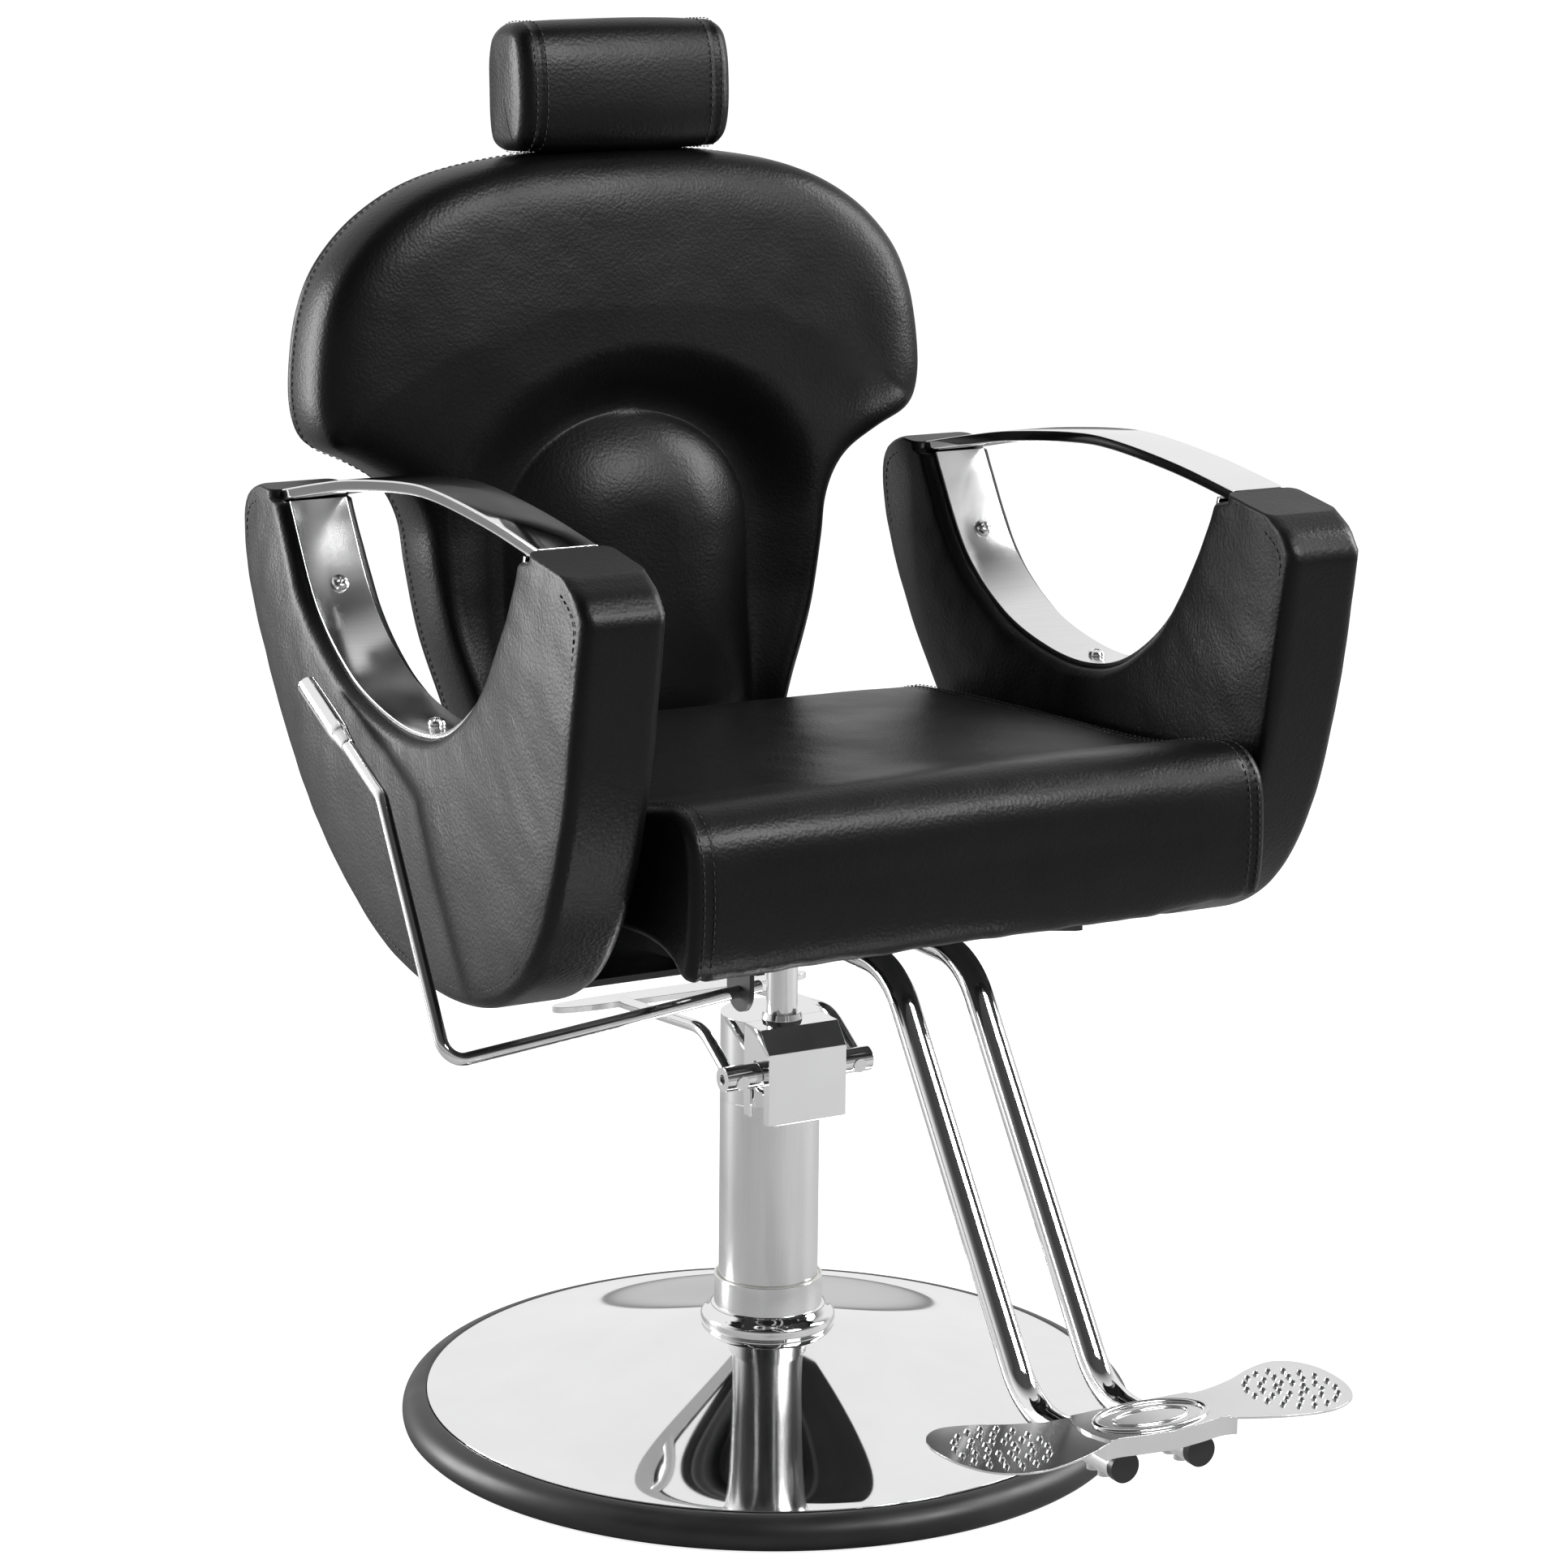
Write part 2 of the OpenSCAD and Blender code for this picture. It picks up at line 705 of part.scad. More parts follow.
module foot_outline(grow = 0) {
    half = open_curve(concat(foot_back, foot_front), 6);
    scaled = [for (q = half) [q.x * foot_half / 166, q.y]];
    polygon(shifted(both_halves(scaled, 1), grow));
}

module footrest_plate() {
    rim = 4;
    oval_w = 54;
    oval_l = 33;
    mid_y = -542;
    bump_d = 5;
    color("gainsboro") {
        difference() {
            translate([0, 0, foot_top - foot_plate_t]) linear_extrude(foot_plate_t) foot_outline();
            translate([0, 0, foot_top - 1.5]) linear_extrude(3) difference() {
                foot_outline(rim);
                translate([0, mid_y]) circle(r = oval_w + 2);
            }
            translate([0, 0, foot_top - foot_plate_t - 1]) linear_extrude(foot_plate_t - 2) difference() {
                foot_outline(rim);
                square([150, 400], center = true);
                translate([0, mid_y]) square([110, 200], center = true);
            }
        }
        difference() {
            for (s = [-1, 1]) block([s * foot_x - 15, -538, foot_top - foot_plate_t - 6],
                [s * foot_x + 15, -516, foot_top - foot_plate_t]);
            low_tubes(foot_tube_d + 2 * fit);
        }
        for (s = [-1, 1], ring = [1:3], a = [0:1:5 * ring + 2]) {
            turn = 360 * a / (5 * ring + 3);
            x = s * (122 + 10.5 * ring * cos(turn));
            y = -540 + 12 * ring * sin(turn);
            translate([x, y, foot_top - 1.6]) cylinder(d1 = bump_d, d2 = 2.4, h = 2.6);
        }
    }
}

module footrest_caps() {
    color([0.05, 0.05, 0.05]) for (s = [-1, 1]) translate([s * foot_x, foot_end, low_z]) rotate([90, 0, 0])
        cylinder(d = foot_tube_d + 1, h = 6);
}

module footrest_screws() {
    color("silver") difference() {
        for (s = [-1, 1], y = [-534, -520]) translate([s * foot_x, y, low_z - foot_tube_d / 2 - 3])
            cylinder(d = 10, h = 6);
        low_tubes(foot_tube_d);
    }
}

// ---- Recline gear ----

lever_axis = (lever_in - lever_out) / norm(lever_in - lever_out);

module lever_bracket() {
    plate_x = -78;
    low = plate_top - mount_t;
    color("dimgray") difference() {
        union() {
            slab_yz(plate_x - 2, plate_x + 2) polygon([[-108, low], [-108, 388], [-72, 388], [-72, low]]);
            translate([plate_x - 2, -90, 388]) rotate([0, 90, 0]) cylinder(r = 18, h = 4);
            block([plate_x - 2, -108, low - 4], [plate_x + 20, -72, low]);
        }
        bar_between(lever_in + 10 * lever_axis, lever_out, lever_d + 2 * fit);
    }
}

module recline_rod() {
    color("gainsboro") bent_rod([
        lever_in, lever_out, lever_knee, lever_tip
    ], 16, lever_d);
}

module recline_grip() {
    along = (lever_tip - lever_knee) / norm(lever_tip - lever_knee);
    start = lever_tip - 33 * along;
    finish = lever_tip + 50 * along;
    color("gainsboro") difference() {
        bar_between(start, finish, 16);
        bar_between(start - 10 * along, lever_tip, lever_d);
    }
}

module gas_cylinder() {
    color([0.15, 0.15, 0.16]) {
        difference() {
            translate([gas_x, gas_front, gas_z]) rotate([-90, 0, 0]) cylinder(d = 22, h = 150);
            translate([gas_x, gas_front + 20, gas_z]) rotate([-90, 0, 0]) cylinder(d = 8 + 2 * fit, h = 140);
        }
        block([gas_x - 10, gas_front - 4, gas_z - 9], [gas_x + 10, gas_front + 6, plate_top - mount_t]);
    }
}

module gas_rod() {
    eye_y = hinge_y + lug_reach * sin(lug_angle);
    color("silver") difference() {
        union() {
            translate([gas_x, gas_front + 64, gas_z]) rotate([-90, 0, 0])
                cylinder(d = 8, h = eye_y - 9 - gas_front - 64);
            translate([gas_x - 4.5, eye_y, gas_z]) rotate([0, 90, 0]) cylinder(d = 22, h = 9);
        }
        translate([gas_x - 5, eye_y, gas_z]) rotate([0, 90, 0]) cylinder(d = eye_d, h = 10);
    }
}

module back_hinge_pins() {
    color("silver") for (s = [-1, 1]) translate([s * (rail_x - 11), hinge_y, hinge_z]) rotate([0, s * 90, 0]) {
        cylinder(d = pin_d, h = 11 + rail_t / 2);
        translate([0, 0, 11 + rail_t / 2]) cylinder(d = 20, h = 4);
    }
}

// ---- Back ----

// Puts a shape drawn upright, with its front face at y = 0, on the leaning back.
module on_back() {
    translate([0, hinge_y, hinge_z]) rotate([-back_lean, 0, 0]) translate([0, back_face, 0]) children();
}

// Front face of the back in front of the hinge, measured square to it.
back_face = (back_face_y - (back_face_z - hinge_z) * tan(back_lean)) * cos(back_lean);
back_lift = 1 / cos(back_lean);

// A height above the floor as a height above the hinge along the back.
function up_back(z) = (z - hinge_z) * back_lift;

// Half outline of the back from the bottom to the top, in X and height.
back_side = [
    [140, up_back(back_bottom)], [150, up_back(545)], [170, up_back(610)], [181, up_back(668)],
    [187, up_back(708)], [204, up_back(738)], [236, up_back(759)], [266, up_back(774)],
    [278, up_back(797)], [back_half, up_back(832)], [272, up_back(880)], [253, up_back(920)],
    [215, up_back(957)], [160, up_back(984)], [80, up_back(998)], [0, up_back(back_top)]
];

module back_outline(inset = 0) {
    half = open_curve(back_side, 5);
    polygon(shifted(both_halves(half, 0), inset));
}

board_y = back_t - 25;
board_ply = 16;
guide_r = 7;

module back_slab(y0, y1) {
    translate([0, y1, 0]) rotate([90, 0, 0]) linear_extrude(y1 - y0) children();
}

module back_frame() {
    arm_half = rail_x - rail_t / 2 - 3.5;
    arm_low = -10;
    lug_y = lug_reach * sin(lug_angle);
    lug_z = -lug_reach * cos(lug_angle);
    color("dimgray") difference() {
        union() {
            for (s = [-1, 1]) on_back() block([s * arm_half - 3, board_y + board_ply, arm_low],
                [s * arm_half + 3, board_y + board_ply + 6, up_back(760)]);
            for (s = [-1, 1]) on_back() block([s * arm_half - 3, -back_face - 12, arm_low],
                [s * arm_half + 3, board_y + board_ply + 6, up_back(back_bottom - 3)]);
            translate([-arm_half, hinge_y, hinge_z]) rotate([0, 90, 0]) cylinder(d = 25, h = 2 * arm_half);
            for (s = [-1, 1]) slab_yz(gas_x + s * 8 - 2.5, gas_x + s * 8 + 2.5) polygon([
                [hinge_y - 10, hinge_z], [hinge_y + 10, hinge_z],
                [hinge_y + lug_y + 8, hinge_z + lug_z], [hinge_y + lug_y - 8, hinge_z + lug_z - 6]
            ]);
            translate([gas_x - 12, hinge_y + lug_y, hinge_z + lug_z]) rotate([0, 90, 0]) cylinder(d = 8, h = 24);
        }
        translate([-rail_x - 10, hinge_y, hinge_z]) rotate([0, 90, 0])
            cylinder(d = pin_d + 2 * fit, h = 2 * rail_x + 20);
    }
}

module back_board() {
    color("burlywood") on_back() difference() {
        back_slab(board_y, board_y + board_ply) back_outline(16);
        for (s = [-1, 1]) translate([s * post_x, board_y + board_ply / 2, up_back(post_z0 - 8)])
            cylinder(r = guide_r, h = 150);
    }
}

module back_cushion() {
    color([0.12, 0.12, 0.13]) on_back() back_slab(0, board_y) back_outline();
}

module back_cover() {
    arm_half = rail_x - rail_t / 2 - 3.5;
    color([0.12, 0.12, 0.13]) on_back() difference() {
        back_slab(board_y + board_ply, back_t) back_outline(1);
        for (s = [-1, 1]) block([s * arm_half - 3, board_y, 0],
            [s * arm_half + 3, board_y + board_ply + 6, up_back(760)]);
    }
}

module headrest_guides() {
    color("slategray") on_back() for (s = [-1, 1]) translate([s * post_x, board_y + board_ply / 2, 0])
        tube(post_d / 2 + fit, guide_r, up_back(post_z0 - 8), up_back(back_top - 2));
}

module headrest_posts() {
    color("gainsboro") on_back() for (s = [-1, 1]) translate([s * post_x, board_y + board_ply / 2, 0])
        translate([0, 0, up_back(post_z0)]) cylinder(d = post_d, h = back_top + 44 - post_z0);
}

module headrest_cushion() {
    low = up_back(back_top + 4);
    mid_y = board_y + board_ply / 2 - 17;
    r = 26;
    section = [
        [-head_depth / 2 + r * 0.6, 0], [-head_depth / 2, r], [-head_depth / 2, head_h - r],
        [-head_depth / 2 + r * 0.8, head_h], [head_depth / 2 - r, head_h], [head_depth / 2, head_h - r],
        [head_depth / 2, r], [head_depth / 2 - 8, 0]
    ];
    closed = concat(section, [section[0]]);
    color([0.12, 0.12, 0.13]) on_back() difference() {
        translate([0, mid_y, low]) slab_yz(-head_w / 2, head_w / 2) polygon(open_curve(closed, 5));
        for (s = [-1, 1]) translate([s * post_x, board_y + board_ply / 2, up_back(post_z0)])
            cylinder(d = post_d, h = back_top + 44 - post_z0);
    }
}

base_disc();
base_rim();
base_plate();
base_socket();
socket_bolts();
base_collar();
collar_band();
swivel_bush();
thrust_washer();
column_tube();
column_foot();
cylinder_liner();
pump_head();
pump_cover();
gland_ring();
lever_spring();
pump_shaft();
pump_lever();
pump_pedal();
lever_rivets();
pump_plunger();
piston_rod();
piston_head();
piston_seal();
mount_plate();
mount_bolts();
seat_frame();
seat_board();
seat_cushion();
arm_brackets();
arm_bolts();
arm_core_right();
arm_core_left();
arm_pad_right();
arm_pad_left();
arm_strap_right();
arm_strap_left();
arm_bar_right();
arm_bar_left();
arm_screws_right();
arm_screws_left();
footrest_tube_right();
footrest_tube_left();
footrest_clamp();
footrest_plate();
footrest_caps();
footrest_screws();
lever_bracket();
gas_cylinder();
back_hinge_pins();
gas_rod();
recline_rod();
recline_grip();
back_frame();
back_board();
back_cushion();
back_cover();
headrest_guides();
headrest_posts();
headrest_cushion();
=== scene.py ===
"""Looks of the hydraulic barber chair: upholstery, chrome, rubber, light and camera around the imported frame.

Metres throughout. +Z up, the chair faces -Y and the sitter's right hand side is -X.
"""

import json
import math

import bpy
import numpy as np
from mathutils import Matrix, Vector, kdtree, noise


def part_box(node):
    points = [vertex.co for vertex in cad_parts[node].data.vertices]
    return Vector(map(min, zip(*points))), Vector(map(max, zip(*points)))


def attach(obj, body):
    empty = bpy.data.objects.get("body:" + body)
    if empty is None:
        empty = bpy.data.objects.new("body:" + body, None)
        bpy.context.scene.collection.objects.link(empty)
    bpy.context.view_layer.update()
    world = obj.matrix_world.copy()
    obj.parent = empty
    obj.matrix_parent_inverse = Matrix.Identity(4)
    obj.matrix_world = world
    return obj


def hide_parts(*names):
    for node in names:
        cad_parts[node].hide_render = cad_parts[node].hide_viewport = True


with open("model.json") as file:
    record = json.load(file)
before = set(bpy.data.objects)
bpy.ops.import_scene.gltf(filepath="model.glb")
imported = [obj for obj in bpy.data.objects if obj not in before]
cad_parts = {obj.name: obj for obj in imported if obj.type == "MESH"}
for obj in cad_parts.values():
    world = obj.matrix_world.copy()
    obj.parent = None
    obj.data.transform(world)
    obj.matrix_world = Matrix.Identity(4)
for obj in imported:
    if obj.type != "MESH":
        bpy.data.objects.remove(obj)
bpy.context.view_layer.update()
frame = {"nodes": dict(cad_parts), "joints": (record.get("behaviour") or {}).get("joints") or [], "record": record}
scene = bpy.context.scene
joints = {j["name"]: j for j in frame["joints"]}
mm = 0.001

# ---------------------------------------------------------------- camera

CAMERA_AT = (-1.6552, -2.9095, 1.2864)
YAW = math.radians(29.5)
PITCH = math.radians(12.0)
ROLL = math.radians(0.527)
LENS = 100.1  # millimetres, for a sensor 36 mm wide
SHIFT = (0.0132, -0.0417)


def add_camera():
    level = Vector((math.cos(YAW), -math.sin(YAW), 0))
    ahead = Vector((math.sin(YAW) * math.cos(PITCH), math.cos(YAW) * math.cos(PITCH), -math.sin(PITCH)))
    above = level.cross(ahead)
    right = level * math.cos(ROLL) + above * math.sin(ROLL)
    up = above * math.cos(ROLL) - level * math.sin(ROLL)
    data = bpy.data.cameras.new("camera")
    data.lens = LENS
    data.sensor_width = 36
    data.shift_x, data.shift_y = SHIFT
    camera = bpy.data.objects.new("camera", data)
    camera.matrix_world = Matrix((
        (right.x, up.x, -ahead.x, CAMERA_AT[0]),
        (right.y, up.y, -ahead.y, CAMERA_AT[1]),
        (right.z, up.z, -ahead.z, CAMERA_AT[2]),
        (0, 0, 0, 1),
    ))
    scene.collection.objects.link(camera)
    scene.camera = camera


add_camera()

# ---------------------------------------------------------------- materials


class Nodes:
    """A material's node tree, with short calls for the nodes used here."""

    def __init__(self, name, **sockets):
        self.material = bpy.data.materials.new(name)
        self.material.use_nodes = True
        self.tree = self.material.node_tree
        self.shader = self.tree.nodes["Principled BSDF"]
        for key, value in sockets.items():
            self.shader.inputs[key.replace("_", " ")].default_value = value
        self.place = self.add("ShaderNodeTexCoord").outputs["Object"]

    def add(self, kind, **sockets):
        node = self.tree.nodes.new(kind)
        for key, value in sockets.items():
            socket = node.inputs[key.replace("_", " ")]
            if isinstance(value, bpy.types.NodeSocket):
                self.tree.links.new(value, socket)
            else:
                socket.default_value = value
        return node

    def noise(self, scale, detail=3.0, rough=0.5, stretch=None):
        place = self.place
        if stretch:
            place = self.add("ShaderNodeMapping", Vector=place, Scale=stretch).outputs["Vector"]
        node = self.add("ShaderNodeTexNoise", Vector=place, Scale=scale, Detail=detail, Roughness=rough)
        return node.outputs["Fac"]

    def spread(self, value, low, high, at=(0.3, 0.7)):
        node = self.add("ShaderNodeMapRange", Value=value)
        node.inputs["From Min"].default_value, node.inputs["From Max"].default_value = at
        node.inputs["To Min"].default_value, node.inputs["To Max"].default_value = low, high
        return node.outputs["Result"]

    def colours(self, value, low, high, at=(0.3, 0.7)):
        ramp = self.add("ShaderNodeValToRGB", Fac=value)
        for stop, place, colour in zip(ramp.color_ramp.elements, at, (low, high)):
            stop.position = place
            stop.color = (*colour, 1)
        return ramp.outputs["Color"]

    def bump(self, height, strength, distance, under=None):
        node = self.add("ShaderNodeBump", Height=height, Strength=strength, Distance=distance)
        if under is not None:
            self.tree.links.new(under, node.inputs["Normal"])
        return node.outputs["Normal"]

    def to(self, socket, value):
        self.tree.links.new(value, self.shader.inputs[socket])
        return self


def leather(name):
    """Black synthetic leather: fine pebble grain, faint creasing, and a satin gloss that varies."""
    n = Nodes(name, Specular_IOR_Level=0.22)
    pebble = n.add("ShaderNodeTexVoronoi", Vector=n.place, Scale=400.0)
    pebble.feature = "SMOOTH_F1"
    creases = n.add("ShaderNodeTexVoronoi", Vector=n.place, Scale=260.0)
    creases.feature = "DISTANCE_TO_EDGE"
    edge = n.spread(creases.outputs["Distance"], 0, 1, (0.0, 0.12))
    grain = n.bump(pebble.outputs["Distance"], 0.6, 0.35 * mm)
    grain = n.bump(edge, 0.12, 0.15 * mm, grain)
    grain = n.bump(n.noise(45, 4, 0.6), 0.18, 0.9 * mm, grain)
    n.to("Normal", grain)
    n.to("Roughness", n.spread(n.noise(9, 3), 0.35, 0.43))
    n.to("Base Color", n.colours(n.noise(6, 4), (0.0015, 0.0015, 0.0016), (0.0032, 0.0032, 0.0033)))
    return n.material


def chrome(name, rough=(0.025, 0.06), colour=0.88, edge=0.8 * mm, ripple=0.05):
    """Polished plating: very slight waviness and haze, softened edges."""
    n = Nodes(name, Metallic=1.0)
    corner = n.add("ShaderNodeBevel", Radius=edge)
    corner.samples = 4
    n.to("Normal", n.bump(n.noise(11, 2), ripple, 1.0 * mm, corner.outputs["Normal"]))
    n.to("Roughness", n.spread(n.noise(7, 4), *rough))
    n.to("Base Color", n.colours(n.noise(16, 3), (colour - 0.04,) * 3, (colour, colour, colour + 0.005)))
    return n.material


def satin(name, rough=(0.2, 0.28), colour=0.75, stretch=(1, 1, 0.02), strength=0.05):
    """Plated steel with a fine drawn grain."""
    n = Nodes(name, Metallic=1.0)
    lines = n.noise(900, 2, 0.6, stretch)
    n.to("Normal", n.bump(lines, strength, 0.2 * mm))
    n.to("Roughness", n.spread(n.noise(14, 3), *rough))
    n.to("Base Color", n.colours(lines, (colour - 0.05,) * 3, (colour,) * 3))
    return n.material


def matte(name, low, high, rough=(0.5, 0.65), grain=700.0, strength=0.15, metallic=0.0):
    """Rubber, plastic or paint with a fine texture."""
    n = Nodes(name, Metallic=metallic)
    n.to("Normal", n.bump(n.noise(grain, 3), strength, 0.2 * mm))
    n.to("Roughness", n.spread(n.noise(20, 3), *rough))
    n.to("Base Color", n.colours(n.noise(25, 3), low, high))
    return n.material


def wood(name):
    """Plywood with its plies along Z."""
    n = Nodes(name)
    plies = n.noise(30, 5, 0.6, (1, 1, 12))
    n.to("Base Color", n.colours(plies, (0.36, 0.24, 0.13), (0.6, 0.44, 0.27)))
    n.to("Roughness", n.spread(n.noise(60), 0.55, 0.75))
    n.to("Normal", n.bump(plies, 0.2, 0.3 * mm))
    return n.material


finish = {
    **{name: leather(name) for name in ("seat_leather", "back_leather", "arm_leather", "head_leather")},
    "base_chrome": chrome("base_chrome", (0.02, 0.05), 0.9, 1.2 * mm, 0.02),
    "pump_chrome": chrome("pump_chrome", (0.03, 0.07), 0.88),
    "tube_chrome": chrome("tube_chrome", (0.03, 0.07), 0.9),
    "bar_chrome": chrome("bar_chrome", (0.04, 0.08), 0.9),
    "plate_chrome": chrome("plate_chrome", (0.1, 0.16), 0.78, 0.3 * mm),
    "piston_chrome": chrome("piston_chrome", (0.05, 0.1), 0.8),
    "screw_chrome": chrome("screw_chrome", (0.06, 0.1), 0.85, 0.4 * mm),
    "satin_chrome": satin("satin_chrome", (0.16, 0.24), 0.8),
    "strap_steel": satin("strap_steel", (0.14, 0.22), 0.8, (0.02, 1, 1)),
    "zinc_steel": satin("zinc_steel", (0.3, 0.4), 0.6),
    "dark_steel": matte("dark_steel", (0.012, 0.012, 0.013), (0.03, 0.03, 0.03), (0.35, 0.5)),
    "black_enamel": matte("black_enamel", (0.01, 0.01, 0.01), (0.02, 0.02, 0.02), (0.2, 0.3), 300, 0.05),
    "rim_rubber": matte("rim_rubber", (0.007, 0.007, 0.0075), (0.013, 0.013, 0.0135), (0.36, 0.48)),
    "seal_rubber": matte("seal_rubber", (0.015, 0.015, 0.015), (0.03, 0.03, 0.03)),
    "dust_cloth": matte("dust_cloth", (0.006, 0.006, 0.006), (0.014, 0.014, 0.014), (0.8, 0.95), 1800.0, 0.5),
    "black_plastic": matte("black_plastic", (0.008, 0.008, 0.008), (0.016, 0.016, 0.016), (0.3, 0.42)),
    "bush_plastic": matte("bush_plastic", (0.6, 0.59, 0.55), (0.72, 0.71, 0.67), (0.35, 0.45)),
    "plywood": wood("plywood"),
}
thread_finish = matte("thread", (0.012, 0.012, 0.012), (0.03, 0.03, 0.03), (0.45, 0.6), 2500, 0.4)

for part in frame["record"]["subparts"]:
    shape = frame["nodes"][part["node"]]
    for held in shape.material_slots:
        held.material = finish[part["material_slot"]]

# ---------------------------------------------------------------- mesh tools

ROD_SIDES = 40


def make_piece(name, points, faces, slot, body, replaced=(), sharp=None, paint=None):
    """A mesh piece in the part's own frame that rides on a body."""
    mesh = bpy.data.meshes.new(name)
    mesh.from_pydata([tuple(p) for p in points], [], [tuple(f) for f in faces])
    mesh.validate()
    mesh.polygons.foreach_set("use_smooth", [True] * len(mesh.polygons))
    if sharp:
        mesh.set_sharp_from_angle(angle=math.radians(sharp))
    mesh.materials.append(paint or finish[slot])
    piece = bpy.data.objects.new(name, mesh)
    scene.collection.objects.link(piece)
    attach(piece, body)
    if replaced:
        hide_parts(*replaced)
    return piece


def loops_to_faces(count, size, closed=False):
    """Quads between count closed loops of size points, with flat caps or joined end to end."""
    faces = []
    for i in range(count if closed else count - 1):
        a, b = i * size, (i + 1) % count * size
        faces += [(a + k, a + (k + 1) % size, b + (k + 1) % size, b + k) for k in range(size)]
    if not closed:
        faces.append(tuple(range(size))[::-1])
        faces.append(tuple(range((count - 1) * size, count * size)))
    return faces


def curve_through(points, steps):
    """Smooth open curve through the points, as an array."""
    p = np.array(points, float)
    out = []
    for i in range(len(p) - 1):
        a, b, c, d = p[max(i - 1, 0)], p[i], p[i + 1], p[min(i + 2, len(p) - 1)]
        for t in np.linspace(0, 1, steps, endpoint=False):
            out.append(0.5 * (2 * b + (c - a) * t + (2 * a - 5 * b + 4 * c - d) * t * t
                              + (3 * b - a - 3 * c + d) * t ** 3))
    return np.array(out + [p[-1]])


def evenly(points, count, closed=False):
    """The same line with count points spaced evenly along it."""
    p = np.array(points, float)
    if closed:
        p = np.vstack([p, p[:1]])
    run = np.concatenate([[0], np.cumsum(np.linalg.norm(np.diff(p, axis=0), axis=1))])
    at = np.linspace(0, run[-1], count, endpoint=not closed)
    return np.stack([np.interp(at, run, p[:, k]) for k in range(p.shape[1])], 1)


def soften(points, rounds, closed=False):
    """Moves every point part of the way to the middle of its neighbours."""
    p = np.array(points, float)
    for _ in range(rounds):
        before, after = np.roll(p, 1, 0), np.roll(p, -1, 0)
        moved = 0.5 * p + 0.25 * (before + after)
        if not closed:
            moved[0], moved[-1] = p[0], p[-1]
        p = moved
    return p


def left_of(points):
    """Unit vectors to the left of a 2-D line."""
    ahead = np.gradient(points, axis=0)
    ahead /= np.linalg.norm(ahead, axis=1, keepdims=True)
    return np.stack([-ahead[:, 1], ahead[:, 0]], 1)


def inward_of(loop, centre):
    """Unit vectors towards the inside of a closed 2-D loop, with one more at the end for its first point."""
    inward = left_of(np.vstack([loop, loop[:1]]))
    if np.mean(np.sum(inward[:-1] * (centre - loop), 1)) < 0:
        inward = -inward
    return inward


def bent_line(points, radius, step=0.004):
    """Points along a line that turns with the given radius at every inner point."""
    p = [Vector(q) for q in points]
    out = [p[0]]
    for before, here, after in zip(p, p[1:], p[2:]):
        u, v = (here - before).normalized(), (after - here).normalized()
        turn = u.angle(v)
        cut = radius * math.tan(turn / 2)
        start = here - u * cut
        centre = start + (v - u * u.dot(v)).normalized() * radius
        axis = u.cross(v).normalized()
        count = max(6, int(turn * radius / step))
        out += [centre + Matrix.Rotation(turn * k / count, 3, axis) @ (start - centre)
                for k in range(count + 1)]
    return [np.array(q) for q in out + [p[-1]]]


def swept(path, sections):
    """Loops of 2-D section points set square to the path, without twist."""
    path = [Vector(q) for q in path]
    ahead = [(path[min(i + 1, len(path) - 1)] - path[max(i - 1, 0)]).normalized() for i in range(len(path))]
    side = ahead[0].cross(Vector((1, 0, 0)) if abs(ahead[0].x) < 0.9 else Vector((0, 1, 0))).normalized()
    points = []
    for i, here in enumerate(path):
        side = (side - ahead[i] * side.dot(ahead[i])).normalized()
        other = ahead[i].cross(side)
        points += [here + side * a + other * b for a, b in sections[i]]
    return points


def ring(radius, count=ROD_SIDES):
    return [(radius * math.cos(2 * math.pi * k / count), radius * math.sin(2 * math.pi * k / count))
            for k in range(count)]


def rod(name, path, radii, slot, body, replaced=()):
    """A round bar along a path, with a radius at each of its points."""
    points = swept(path, [ring(r) for r in radii])
    return make_piece(name, points, loops_to_faces(len(path), ROD_SIDES), slot, body, replaced, sharp=50)


def lathe(name, profile, slot, body, replaced, sharp, count=192):
    """A turned piece, closed in section, from (radius, height) points."""
    points = [(r * math.cos(2 * math.pi * k / count), r * math.sin(2 * math.pi * k / count), z)
              for r, z in profile for k in range(count)]
    faces = loops_to_faces(len(profile), count, closed=True)
    return make_piece(name, points, faces, slot, body, replaced, sharp)


def rounded_box(width, height, radius, corner=4):
    """Section of a bar: a rectangle with round corners."""
    out = []
    for cx, cy, start in ((1, 1, 0), (-1, 1, 90), (-1, -1, 180), (1, -1, 270)):
        for k in range(corner + 1):
            a = math.radians(start + 90 * k / corner)
            out.append((cx * (width / 2 - radius) + radius * math.cos(a),
                        cy * (height / 2 - radius) + radius * math.sin(a)))
    return out


